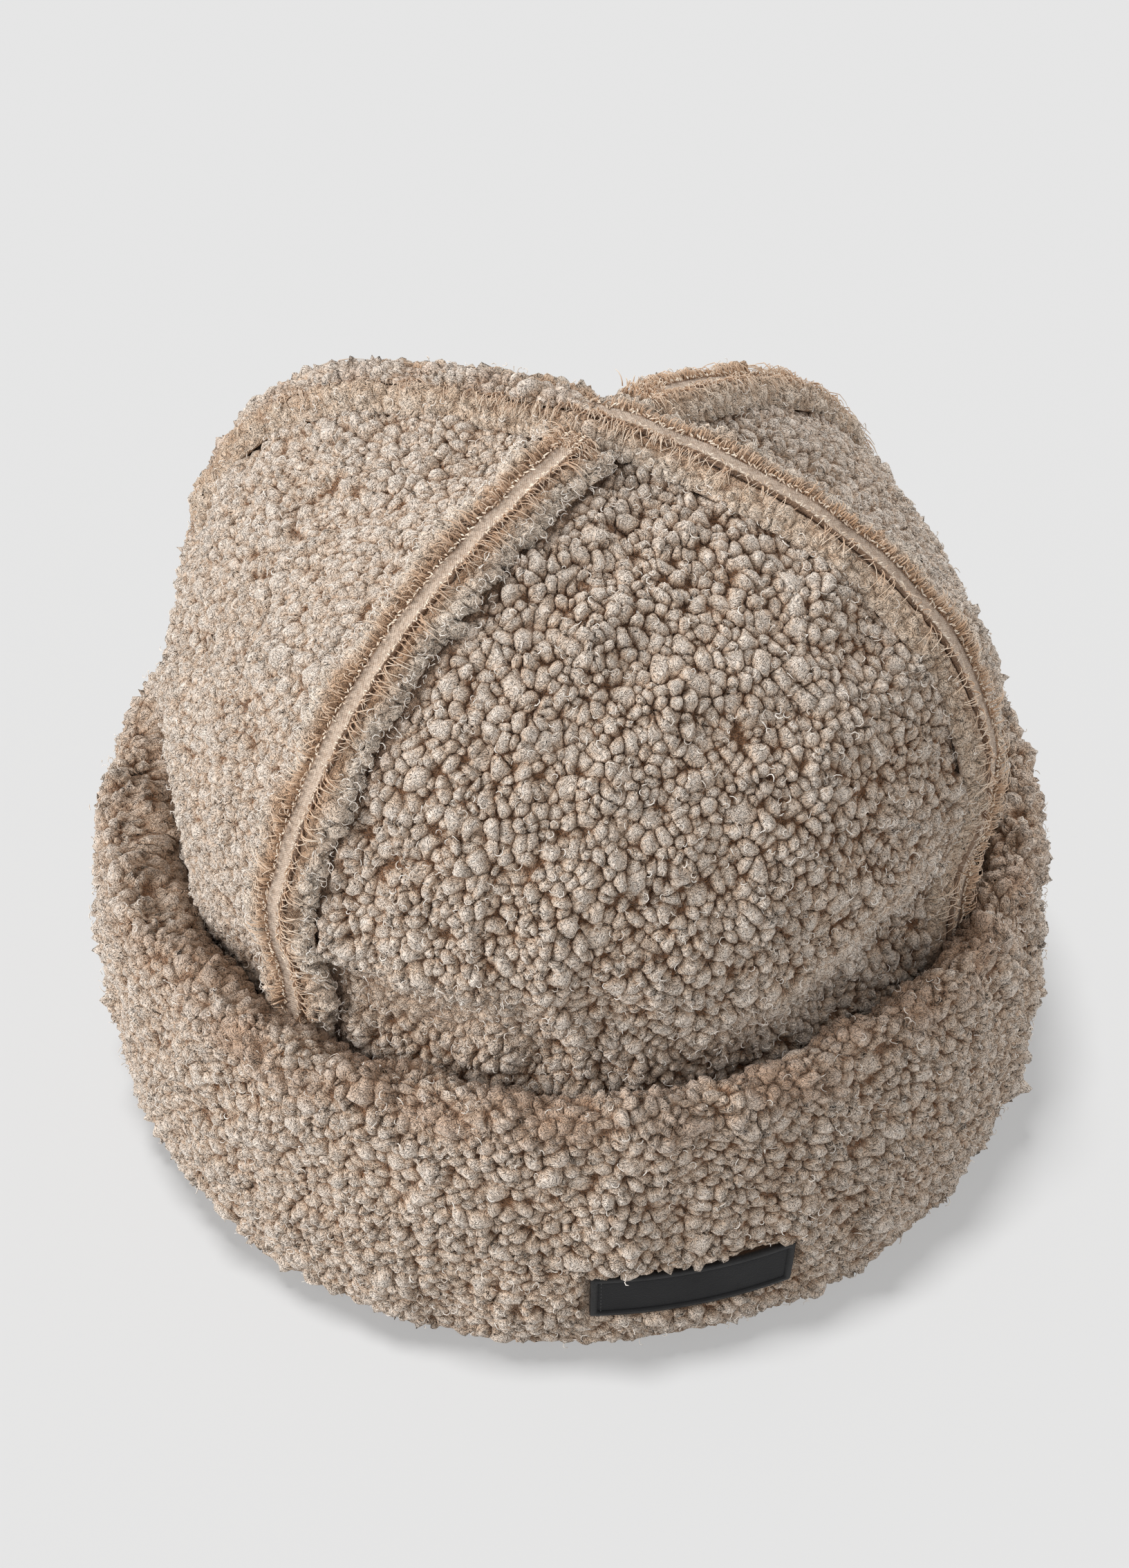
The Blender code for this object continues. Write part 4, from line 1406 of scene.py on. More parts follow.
@dataclass
class Patch:
    """The plain patch: a rubber plate with a raised edge and a row of stitches at its left end."""

    finish: Material
    thread: Material
    width: float = 0.050
    height: float = 0.015
    thickness: float = 0.0016
    rim: float = 0.0016
    rim_rise: float = 0.0005
    azimuth: float = 14.5
    lift: float = 0.0170
    sunk: float = 0.0030
    edge_round: float = 0.0005
    rim_slope: float = 0.0004
    groove: Triple = (0.0003, 0.00025, 0.00012)  # beyond the rim: middle, half width, depth
    columns: int = 72
    rows: int = 32
    stitches: int = 9
    stitch_inset: Pair = (0.0026, 0.0022)  # from the left end, and from the top and bottom

    def radius(self) -> float:
        """The cuff's outer reach at the patch's middle."""
        at = np.array([self.azimuth])
        return float(CUFF.reach(at, (self.lift + self.height / 2) / CUFF.crest(at), 1.0)[0])

    def laid(self, across: Array, up: Array, off: Array | float) -> Array:
        """Points of the patch, bent round the cuff's own face.

        Args:
            across: places along the patch, from its middle.
            up: places up from its lower edge.
            off: how far the points lie off its back.

        Returns:
            The points.
        """
        azimuth = self.azimuth + np.degrees(across / self.radius())
        height = self.lift + up
        reach = CUFF.reach(azimuth, height / CUFF.crest(azimuth), 1.0) - self.sunk + CUFF.seat_gap + off
        points = outward(azimuth) * reach[..., None]
        points[..., 2] = height
        return points

    def build(self) -> None:
        """Make the plate and its stitches.

        The face is a grid whose lines crowd towards the edges. Its thickness is a rounded step up at the
        edge, a raised rim and a level middle.
        """
        along, upwards = crowded(self.columns), crowded(self.rows)
        across, up = np.meshgrid(along * self.width / 2, (upwards + 1) / 2 * self.height)
        inside = np.minimum(self.width / 2 - np.abs(across), np.minimum(up, self.height - up))
        rounded = np.sqrt(np.clip(1 - (1 - np.clip(inside / self.edge_round, 0, 1)) ** 2, 0, 1))
        rim = 1 - eased((inside - self.rim + self.rim_slope / 2) / self.rim_slope)
        beyond, half, depth = self.groove
        groove = np.exp(-(((inside - self.rim - beyond) / half) ** 2))
        off = self.thickness - self.edge_round * (1 - rounded)
        off = off + self.rim_rise * rim * rounded - depth * groove
        face, back = self.laid(across, up, off), self.laid(across, up, 0.0)
        count = self.rows * self.columns
        edge = np.concatenate([
            np.arange(self.columns),
            np.arange(2, self.rows + 1) * self.columns - 1,
            np.arange(count - 2, count - self.columns - 1, -1),
            np.arange(self.rows - 2, 0, -1) * self.columns,
        ])
        sides = np.stack([edge, edge + count, np.roll(edge, -1) + count, np.roll(edge, -1)], axis=-1)
        grid = quads(self.rows, self.columns)
        backing = np.concatenate([(up < 0.0002).ravel() * 0.8, np.ones(count)])
        values = {"rim": np.concatenate([rim.ravel(), np.zeros(count)]), "backing": backing}
        points = np.concatenate([face.reshape(-1, 3), back.reshape(-1, 3)])
        faces = [grid[:, ::-1], grid + count, sides[:, ::-1]]
        plate = make_piece("patch_plate", points, faces, self.finish, ("patch",), values)
        plate.data.set_sharp_from_angle(angle=math.radians(50))
        beads = Beads(0.0007, 0.00028, 0.00022)
        from_end, from_edge = self.stitch_inset
        rows = np.linspace(from_edge, self.height - from_edge, self.stitches)
        column = np.full(self.stitches, -self.width / 2 + from_end)
        middles = self.laid(column, rows, self.thickness + 0.00005)
        up_line = np.tile([0.0, 0.0, 1.0], (self.stitches, 1))
        out = np.tile(outward(np.array([self.azimuth]))[0], (self.stitches, 1))
        points, faces = beads.laid(middles, up_line, out)
        values = {"tip": np.full(len(points), 0.2)}
        make_piece("patch_stitches", points, faces, self.thread, (), values)


@dataclass(frozen=True)
class Beads:
    """Short plump stitches: ellipsoids with three sides and three rings."""

    length: float
    width: float
    height: float
    rings: tuple[float, ...] = (0.14, 0.50, 0.86)

    @property
    def points(self) -> int:
        """Points in one bead."""
        return len(self.rings) * SIDES

    def laid(self, middles: Array, along: Array, out: Array) -> tuple[Array, list[Array]]:
        """Lay a bead at each place.

        A bead is middle + along.cos(t) + (side.cos(p) + out.sin(p)).sin(t) on a grid of t and p.

        Args:
            middles: where the beads lie.
            along: unit vectors down their length.
            out: unit vectors off the surface.

        Returns:
            Points, and arrays of faces.
        """
        side = unit(np.cross(along, out))
        t = np.array(self.rings)[:, None] * math.pi
        p = np.arange(SIDES)[None, :] * (2 * math.pi / SIDES)
        shape = [np.cos(t) + 0 * p, np.sin(t) * np.cos(p), np.sin(t) * np.sin(p)]
        long, wide, high = (axis.reshape(1, -1, 1) for axis in shape)
        points = middles[:, None] + along[:, None] * long * self.length / 2
        points = points + side[:, None] * wide * self.width / 2 + out[:, None] * high * self.height / 2
        body = quads(len(self.rings), SIDES, (Edge.OPEN, Edge.JOINED))
        last = self.points - SIDES
        ends = np.array([[2, 1, 0], [last, last + 1, last + 2]])
        start = np.arange(len(middles))[:, None, None] * self.points
        faces = [(body[None] + start).reshape(-1, 4), (ends[None] + start).reshape(-1, 3)]
        return points.reshape(-1, 3), faces


@dataclass(frozen=True)
class Tubes:
    """Thin three-sided tubes, for curls and strands."""

    finish: Material

    def build(
        self, name: str, paths: Array, across: Array, radius: Array, tip: Array, slot: Slot
    ) -> None:
        """Make tubes along paths.

        Each ring is path + radius (across.cos(p) + (along x across).sin(p)) for three angles p, and each end
        is closed by one triangle.

        Args:
            name: the piece's name.
            paths: points, tube by step.
            across: unit vectors square to the paths, one for each point or tube.
            radius: the tubes' radius, tube by step.
            tip: how pale each point is, tube by step.
            slot: not used.
        """
        count, steps = paths.shape[:2]
        along = unit(np.gradient(paths, axis=1))
        across = unit(across - along * dot(across, along)[..., None])
        beside = np.cross(along, across)
        angle = np.arange(SIDES)[None, None, :, None] * (2 * math.pi / SIDES)
        ring = across[:, :, None] * np.cos(angle) + beside[:, :, None] * np.sin(angle)
        points = paths[:, :, None] + ring * radius[:, :, None, None]
        one = quads(steps, SIDES, (Edge.OPEN, Edge.JOINED))[:, ::-1]
        start = np.arange(count)[:, None, None] * steps * SIDES
        last = (steps - 1) * SIDES
        ends = np.array([[2, 1, 0], [last, last + 1, last + 2]])
        faces = [(one[None] + start).reshape(-1, 4), (ends[None] + start).reshape(-1, 3)]
        values = {"tip": np.repeat(tip.ravel(), SIDES)}
        make_piece(name, points.reshape(-1, 3), faces, self.finish, (), values)


@dataclass(frozen=True)
class Curls:
    """Small open loops of pile that stand on the nubs' tips."""

    tubes: Tubes
    count: int
    seed: int
    radius: float = 0.00080
    radii: Pair = (0.55, 1.35)
    thickness: float = 0.00012
    thicknesses: Pair = (0.7, 1.3)
    sweeps: Pair = (2.6, 4.6)  # how far round a loop goes, in radians
    lifts: Pair = (0.15, 1.0)
    slide: float = 0.0008
    taper: float = 0.35
    tips: Pair = (0.45, 1.0)
    steps: int = 5

    def build(self, name: str, places: Array, ways: Array) -> None:
        """Make the loops.

        A loop is middle + r (a.cos(t) + b.sin(t)), t from 0 to about 300 degrees, where a lies on the surface
        and b leans off it.

        Args:
            name: the piece's name.
            places: tips of the nubs.
            ways: unit vectors off the surface there.
        """
        rng = np.random.default_rng(self.seed)
        pick = rng.permutation(len(places))[: self.count]
        places, ways = places[pick], ways[pick]
        count = len(places)
        one = unit(np.cross(ways, rng.normal(size=(count, 3))))
        lift = ways * rng.uniform(*self.lifts, (count, 1))
        other = unit(lift + np.cross(ways, one) * rng.uniform(-1, 1, (count, 1)))
        radius = self.radius * rng.uniform(*self.radii, (count, 1, 1))
        sweep = rng.uniform(*self.sweeps, (count, 1, 1)) * np.linspace(0.0, 1.0, self.steps)[None, :, None]
        sweep = sweep + rng.uniform(0.0, 2 * math.pi, (count, 1, 1))
        ring = one[:, None] * np.cos(sweep) + other[:, None] * np.sin(sweep)
        side = np.cross(one, other)[:, None] * np.linspace(-0.5, 0.5, self.steps)[None, :, None]
        slide = np.cross(ways, rng.normal(size=(count, 3))) * self.slide
        paths = (places + slide)[:, None] + (ring + side) * radius
        taper = np.sin(np.linspace(self.taper, math.pi - self.taper, self.steps)) ** 0.5
        thick = self.thickness * rng.uniform(*self.thicknesses, (count, 1)) * taper
        tip = np.broadcast_to(rng.uniform(*self.tips, (count, 1)), thick.shape)
        self.tubes.build(name, paths, ring, thick, tip, Slot.FLEECE)


@dataclass(frozen=True)
class Cover:
    """Pile that closes over a stretch of a seam's tape: from where to where along the seam, and its sizes."""

    pile: Material
    start: float
    end: float
    half: float = 0.0036
    height: float = 0.0022
    clear: float = 0.0003
    columns: int = 17
    fade: float = 0.025
    end_share: float = 0.45  # how wide it still is at its ends


@dataclass(frozen=True)
class Strands:
    """How a seam's loose strands stand: how many, how far they reach and rise, and how thick they are."""

    count: float
    reach: Pair
    rise: Pair
    thickness: float
    steps: int = 5
    thicknesses: Pair = (0.7, 1.3)


@dataclass
class SeamWork:
    """One seam of the crown: its welt of turned-out pile, tape, stitches and fringe.

    The camera's side of the long seam is the near one. Both sides' curves say how shaggy the welt is along
    the seam, and the ridge's how much higher it stands.
    """

    name: str
    starts: tuple[str, ...]
    pile: Material
    tape: Material
    thread: Material
    strands: Tubes
    seed: int
    near_side: Curve
    far_side: Curve
    ridge: Curve
    cover: Cover | None = None
    end_clear: float = 0.0
    curled: float = 0.22
    tuft: Strands = Strands(240, (0.0010, 0.0034), (0.0014, 0.0034), 0.00018)
    fringe: Strands = Strands(1.25, (0.0016, 0.0062), (0.0002, 0.0019), 0.00017)  # count per point
    width: float = 0.018
    height: float = 0.0046
    tape_width: float = 0.0042
    tape_thickness: float = 0.0009
    bed_share: float = 0.60
    lift: float = 0.0016
    spread: float = 0.030
    dome: float = 0.92
    groove_slope: float = 0.0012
    pile_slope: float = 0.0022
    out_of_cuff: Pair = (0.068, 0.016)  # where the pile starts to stand, and over what height
    flung: float = 0.0006
    columns: int = 30
    tape_columns: int = 7
    waver: float = 0.00028
    sag: float = 0.00035
    cord: float = 0.0004
    tape_free: Pair = (0.085, 0.02)
    stitches_from: float = 0.055
    fringe_from: float = 0.062
    stitch: Beads = Beads(0.00120, 0.00046, 0.00046)
    spacing: float = 0.00062
    cut: Cut = Cut(
        pitch=0.0024, height=0.0025, sunk=0.40, squeeze=1.5, swell=0.0009, tousle=0.0012, crevice_shade=0.8
    )

    def ripple(self, length: float, draw: int, points: Array) -> Array:
        """A ripple of the seam's own, of this length, at the points."""
        return Ripple(length, self.seed + draw).at(points)

    def path(self) -> Array:
        """Points of the seam on the crown's outer face: up it, and for a long seam down the other side.

        Returns:
            The points, one row each.
        """
        clear = math.acos(min(self.end_clear / (CROWN.height - CROWN.shoulder), 1.0)) / (math.pi / 2)
        last = CROWN.shoulder_station + (1 - CROWN.shoulder_station) * clear
        count = int(SEAM_LENGTH / self.spacing)
        station = np.concatenate([np.linspace(0.02, 0.20, 6)[:-1], np.linspace(0.20, last, count)])
        sides = [CROWN.point(SEAMS[seam].azimuth(station), station) for seam in self.starts]
        if len(sides) == 1:
            return sides[0]
        return np.concatenate([sides[0][:-1], sides[1][::-1]])

    def __post_init__(self) -> None:
        """Lay the seam's line, with unit vectors along it, across it and off the crown."""
        self.line = self.path()
        self.along, out = unit(np.gradient(self.line, axis=0)), CROWN.outwards(self.line)
        self.side = unit(np.cross(self.along, out))
        self.out = unit(np.cross(self.side, self.along))

    def bed(self, path: Array) -> Array:
        """How far the welt's underside lies off the crown: more where the seams cross.

        Args:
            path: points of the seam.

        Returns:
            One distance for each point.
        """
        crossing = np.array([CROWN.lean[0], CROWN.lean[1], CROWN.height])
        near = 1 - np.linalg.norm(path - crossing, axis=-1) / self.spread
        return CUFF.seat_gap + self.lift * eased(near)

    def tall(self, path: Array) -> Array:
        """The welt's height along the seam: less where the cuff presses it.

        Args:
            path: points of the seam.

        Returns:
            One height for each point.
        """
        azimuth = np.degrees(np.arctan2(path[:, 0], -path[:, 1]))
        share = path[:, 2] / CUFF.crest(azimuth)
        room = CUFF.room_line.at(np.minimum(share, 1.0))
        return self.height * np.minimum(room + (1 - room) * eased(share - 1), 1.0)

    def build(self) -> tuple[Nubs, Array]:
        """Make the seam's pieces.

        Returns:
            The welt's nubs, and which of them are loose enough to carry curls.
        """
        nubs, loose = self.build_welt()
        self.build_tape()
        self.build_fringe()
        if len(self.starts) == 1:
            self.build_tuft()
        if self.cover:
            self.build_cover(self.cover)
        return nubs, loose

    def placed(self, path: Array, side: Array, across: Array, off: Array) -> Array:
        """Points this far across the seam, off the crown's face."""
        return CROWN.draped(path[:, None] + side[:, None] * across[..., None], off)

    def build_welt(self) -> tuple[Nubs, Array]:
        """Make the welt: a low rounded ridge each side of the tape's groove, carried along the seam.

        The top's height is a root of 1 - s^p, s running from the middle (0) to the edge (1) and p greater
        where the welt is shaggy, less a groove for the tape.

        Returns:
            The nubs, and which of them are loose enough to carry curls.
        """
        path, side = self.line, self.side
        half, groove = self.width / 2, self.tape_width / 2 + CUFF.seat_gap
        across = np.linspace(-half, half, self.columns)[None, :] + 0 * path[:, :1]
        share, off_groove = np.abs(across) / half, np.abs(across) - groove
        length = np.linspace(0.0, 1.0, len(path))[:, None] + 0 * across
        shaggy = np.where(across < 0, self.near_side.at(length), self.far_side.at(length))
        dome = np.sqrt(np.clip(1.04 - share ** (2.0 + 3.0 * shaggy), 0.0, 1.0)) * self.dome
        dip = (self.dome - self.bed_share) * (1 - eased(off_groove / self.groove_slope))
        tall, bed = self.tall(path)[:, None], self.bed(path)[:, None]
        top = self.placed(path, side, across, bed + tall * (dome - dip))
        edges = np.array([[half * 0.96, 0.0, -half * 0.96]]) + 0 * path[:, :1]
        under = self.placed(path, side, edges, bed + 0 * across[:, :3])
        normals = facing(top, CROWN.outwards(top))
        free = risen(top[..., 2], *self.out_of_cuff)
        sideways = np.broadcast_to(side[:, None], top.shape)
        calm = (free * risen(off_groove, 0.0002, self.pile_slope) * (0.62 + 0.38 * shaggy)).ravel()
        lumpy = 1 + 0.35 * self.ripple(0.012, Draw.RIDGE, path)[:, None]
        near_fall = 1 - 0.9 * eased((share - 0.5) / 0.5)
        hill = eased(off_groove / self.pile_slope) * free * np.where(across < 0, near_fall, 0.45)
        top = top + normals * (self.ridge.at(length) * lumpy * hill)[..., None]
        along = np.cross(sideways, normals).reshape(-1, 3)
        nubs = Nubs(self.cut, top.reshape(-1, 3), normals.reshape(-1, 3), self.seed, along=along)
        nubs.narrow = 1 + (nubs.narrow - 1) * shaggy.ravel()[nubs.origin]
        points, tip = nubs.raised(calm)
        edge = shaggy * eased((share - 0.55) / 0.4) * free
        flung = self.flung * edge * tip.reshape(share.shape) * np.sign(across)
        points += (sideways * flung[..., None]).reshape(-1, 3)
        loose = (free * eased((np.abs(across) - half * 0.55) / 0.002)).ravel()[nubs.origin] > 0.5
        rooted = eased(off_groove.ravel() / (half * 0.62))
        plain = 1 - shaggy.ravel()
        tip = tip * (0.25 + 0.75 * np.maximum(rooted, plain)) + 0.45 * rooted**2 * shaggy.ravel()
        tip = np.clip(tip * calm + 0.2 * (1 - calm), 0, 1)
        patchy = self.ripple(0.014, Draw.PATCHES, points)
        brown = np.clip(0.95 - rooted + 0.35 * patchy, 0.0, 1.0) * (1 - 0.8 * plain)
        rows = len(path)
        ring = np.concatenate([points.reshape(rows, -1, 3), under], axis=1)
        pad = np.zeros((rows, 3))
        values = {
            "tip": np.concatenate([tip.reshape(rows, -1), pad + 0.3], axis=1),
            "brown": np.concatenate([brown.reshape(rows, -1), pad + 0.6], axis=1),
        }
        faces = strip(rows, ring.shape[1])
        node = (f"seam_welt_{self.name}",)
        make_piece(f"welt_{self.name}", ring.reshape(-1, 3), faces, self.pile, node, values)
        return nubs, loose

    def build_tape(self) -> None:
        """Make the tape, slightly hollow with corded edges, and a row of stitches down each edge."""
        path, side, half = self.line, self.side, self.tape_width / 2
        across = crowded(self.tape_columns)[None, :] * half + 0 * path[:, :1]
        share = np.abs(across) / half
        free = risen(path[:, 2:3], *self.tape_free)
        waver = self.waver * self.ripple(0.0045, Draw.WAVER, path)[:, None] * free
        across = across * (1 + waver / half) + 0.5 * waver
        bed = (self.bed(path) + self.tall(path) * self.bed_share + CUFF.seat_gap)[:, None]
        sag = self.sag * self.ripple(0.012, 0, path)[:, None] * free
        edge = np.exp(-(((share - 0.82) / 0.14) ** 2)) * self.cord - 0.0006 * np.clip(share - 0.9, 0, 1) * 10
        top = self.placed(path, side, across, bed + self.tape_thickness * 0.9 + edge + sag)
        under_across = np.array([[half, -half]]) + 0 * path[:, :1]
        under = self.placed(path, side, under_across, bed + 0 * across[:, :2])
        ring = np.concatenate([top, under], axis=1)
        rows, count = ring.shape[:2]
        length = np.concatenate([[0.0], np.cumsum(np.linalg.norm(np.diff(path, axis=0), axis=-1))])
        values = {
            "across": np.concatenate([across, under_across], axis=1),
            "along": np.repeat(length, count),
        }
        node = (f"seam_tape_{self.name}",)
        faces = strip(rows, count)
        make_piece(f"tape_{self.name}", ring.reshape(-1, 3), faces, self.tape, node, values)
        self.build_stitches(length, bed + self.tape_thickness, sag)

    def build_stitches(self, length: Array, face: Array, sag: Array) -> None:
        """Make the stitches: beads that lie every way along both edges of the tape.

        Args:
            length: how far along the seam each point is.
            face: height of the tape's face there.
            sag: how much it rises or sinks there.
        """
        path, along, side, out = self.line, self.along, self.side, self.out
        shown = path[:, 2] > self.stitches_from
        places = np.arange(length[shown].min(), length[shown].max(), self.spacing)
        rng = np.random.default_rng(self.seed + Draw.STITCHES)
        middles, lines, outs = [], [], []
        for edge_side in (-1, 1):
            scattered = places + rng.normal(0, 0.0003, len(places))
            pick = np.clip(np.searchsorted(length, scattered), 0, len(path) - 1)
            off = edge_side * self.tape_width / 2 * (0.86 + rng.normal(0, 0.13, len(pick)))
            lift = (face[pick, 0] + rng.uniform(0.0005, 0.0012, len(pick)) + sag[pick, 0])[:, None]
            middles.append(self.placed(path[pick], side[pick], off[:, None], lift)[:, 0])
            turn = rng.uniform(0.0, math.pi, (len(pick), 1))
            lines.append(unit(along[pick] * np.cos(turn) + side[pick] * np.sin(turn) + out[pick] * 0.25))
            outs.append(out[pick])
        line, off_face = np.concatenate(lines), np.concatenate(outs)
        off_face = unit(off_face - line * dot(off_face, line)[:, None])
        points, faces = self.stitch.laid(np.concatenate(middles), line, off_face)
        values = {"tip": np.repeat(rng.uniform(0.2, 1.0, len(line)), self.stitch.points)}
        make_piece(f"stitches_{self.name}", points, faces, self.thread, (), values)

    def build_cover(self, cover: Cover) -> None:
        """Make the pile that closes over the tape: a low ridge of nubs just clear of it, thin at both ends.

        Its top is a root of 1 - s^2, s running from the middle (0) to the edge (1).

        Args:
            cover: where it lies and its sizes.
        """
        places = np.linspace(0.0, 1.0, len(self.line))
        shown = (places > cover.start) & (places < cover.end)
        path, side = self.line[shown], self.side[shown]
        from_end = np.minimum(places[shown] - cover.start, cover.end - places[shown])
        ends = eased(from_end / cover.fade)[:, None]
        share = np.linspace(-1.0, 1.0, cover.columns)[None, :] + 0 * ends
        narrowing = cover.end_share + (1 - cover.end_share) * ends
        lumpy = 1 + 0.30 * self.ripple(0.011, Draw.COVER_RIDGE, path)[:, None]
        bed = self.bed(path) + self.tall(path) * self.bed_share + 2 * CUFF.seat_gap + self.tape_thickness
        bed = bed[:, None] + cover.clear
        dome = cover.height * ends * lumpy * np.sqrt(1.02 - share**2)
        top = self.placed(path, side, share * cover.half * narrowing, bed + dome)
        edges = share[:, [-1, cover.columns // 2, 0]] * cover.half * 0.9 * narrowing
        under = self.placed(path, side, edges, bed - 0.0001 + 0 * edges)
        normals = facing(top, CROWN.outwards(top))
        calm = eased((1 - np.abs(share)) / 0.12) * (0.25 + 0.75 * ends)
        nubs = Nubs(self.cut, top.reshape(-1, 3), normals.reshape(-1, 3), self.seed + Draw.COVER)
        points, tip = nubs.raised(calm.ravel())
        brown = np.clip(0.15 + 0.6 * self.ripple(0.013, Draw.COVER_BROWN, points), 0.0, 1.0)
        rows = len(path)
        ring = np.concatenate([points.reshape(rows, -1, 3), under], axis=1)
        pad = np.full((rows, 3), 0.3)
        values = {
            "tip": np.concatenate([tip.reshape(rows, -1), pad], axis=1),
            "brown": np.concatenate([brown.reshape(rows, -1), pad], axis=1),
        }
        faces = strip(rows, ring.shape[1])
        make_piece(f"cover_{self.name}", ring.reshape(-1, 3), faces, cover.pile, (), values)

    def build_tuft(self) -> None:
        """Make the tuft that hides the tape's end: strands that bow up and over from round the seam's end.

        Each strand is root + out.h.sin(0.62 pi t) + lean.r.t^1.6, t from 0 to 1.
        """
        path, along, side, out = self.line, self.along[-1], self.side[-1], self.out[-1]
        rng = np.random.default_rng(self.seed + Draw.TUFT)
        form = self.tuft
        count = int(form.count)
        t = np.linspace(0.0, 1.0, form.steps)[None, :, None]
        root = path[-1] + out * (self.bed(path)[-1] + self.height * 0.55)
        root = root + side * rng.normal(0.0, 0.0024, (count, 1))
        root = root - along * rng.uniform(-0.0006, 0.0052, (count, 1))
        lean = side * rng.normal(0.0, 0.6, (count, 1)) - along * rng.uniform(-0.4, 1.0, (count, 1))
        high = rng.uniform(*form.rise, (count, 1, 1))
        reach = rng.uniform(*form.reach, (count, 1, 1))
        paths = root[:, None] + out * high * np.sin(math.pi * 0.62 * t) + lean[:, None] * reach * t**1.6
        axes = np.repeat(unit(np.cross(lean, out))[:, None], form.steps, axis=1)
        thick = form.thickness * rng.uniform(*form.thicknesses, (count, 1)) * (1.05 - 0.6 * t[..., 0])
        tip = np.clip(t[..., 0] ** 1.3 * rng.uniform(0.1, 1.2, (count, 1)), 0, 1)
        self.strands.build(f"tuft_{self.name}", paths, axes, thick, tip, Slot.CUT_PILE)

    def build_fringe(self) -> None:
        """Make the cut strands beside the tape: each bows from its root by the tape out over the welt.

        A strand is root + side.r.t + out.h.sin(pi t^0.8) + along.d.t^1.5, t from 0 to 1.
        """
        path, along, side = self.line, self.along, self.side
        rng = np.random.default_rng(self.seed + Draw.FRINGE)
        form = self.fringe
        shown = np.flatnonzero(path[:, 2] > self.fringe_from)
        t = np.linspace(0.0, 1.0, form.steps)[None, :]
        paths, axes = [], []
        for edge_side in (-1, 1):
            shaggy = (self.near_side if edge_side < 0 else self.far_side).at(shown / (len(path) - 1))
            pick = np.sort(rng.choice(shown, int(len(shown) * form.count), p=shaggy / shaggy.sum()))
            clump = 1 + 0.45 * self.ripple(0.006, edge_side, path[pick])[:, None]
            reach = rng.uniform(*form.reach, (len(pick), 1)) * clump
            rise = rng.uniform(*form.rise, (len(pick), 1))
            drift = rng.normal(0, 0.0016, (len(pick), 1))
            off = edge_side * (self.tape_width / 2 - 0.0001 + reach * t)
            bed = (self.bed(path) + self.tall(path) * self.bed_share)[pick, None]
            lift = bed + CUFF.seat_gap + self.tape_thickness * 0.9 + self.height * 0.18 * eased(t * 1.6)
            lift = lift + rise * np.sin(math.pi * t**0.8) * 1.2
            moved = self.placed(path[pick], side[pick], off, lift)
            moved += along[pick][:, None] * (drift * t**1.5)[..., None]
            paths.append(moved)
            axes.append(np.repeat(along[pick][:, None], form.steps, axis=1))
        every = np.concatenate(paths)
        thick = form.thickness * rng.uniform(*form.thicknesses, (len(every), 1)) * (1.05 - 0.65 * t)
        tip = np.clip(t**1.4 * rng.uniform(0.4, 1.3, (len(every), 1)), 0, 1)
        self.strands.build(f"fringe_{self.name}", every, np.concatenate(axes), thick, tip, Slot.CUT_PILE)

    def build_curls(self, tubes: Tubes, nubs: Nubs, loose: Array) -> None:
        """Make the curls on the welt's loose nubs, up to two on each.

        Args:
            tubes: the maker of the curls' tubes.
            nubs: the welt's nubs.
            loose: which of them carry curls.
        """
        places, ways = np.tile(nubs.tips()[loose], (2, 1)), np.tile(nubs.ways[loose], (2, 1))
        curls = Curls(tubes, int(len(places) * self.curled), self.seed + Draw.WELT_CURLS)
        curls.build(f"welt_{self.name}_curls", places, ways)


@dataclass(frozen=True)
class Lamp:
    """A large soft light, far away: the way its light goes, its strength, its width and what it lights."""

    name: str
    way: Triple
    strength: float
    width: float
    lights_floor: bool = False

    def build(self, floor: bpy.types.Object) -> None:
        """Make the light, for the floor alone or for all but the floor.

        Args:
            floor: the floor, which the hat's lamps leave out and the floor's own lamp keeps to.
        """
        light = bpy.data.lights.new(self.name, "SUN")
        light.energy, light.angle = self.strength, self.width
        lamp = bpy.data.objects.new(self.name, light)
        lamp.rotation_euler = Vector(self.way).to_track_quat("-Z", "Y").to_euler()
        bpy.context.scene.collection.objects.link(lamp)
        lit = bpy.data.collections.new(f"{self.name}_floor")
        lit.objects.link(floor)
        lit.collection_objects[0].light_linking.link_state = "INCLUDE" if self.lights_floor else "EXCLUDE"
        lamp.light_linking.receiver_collection = lit


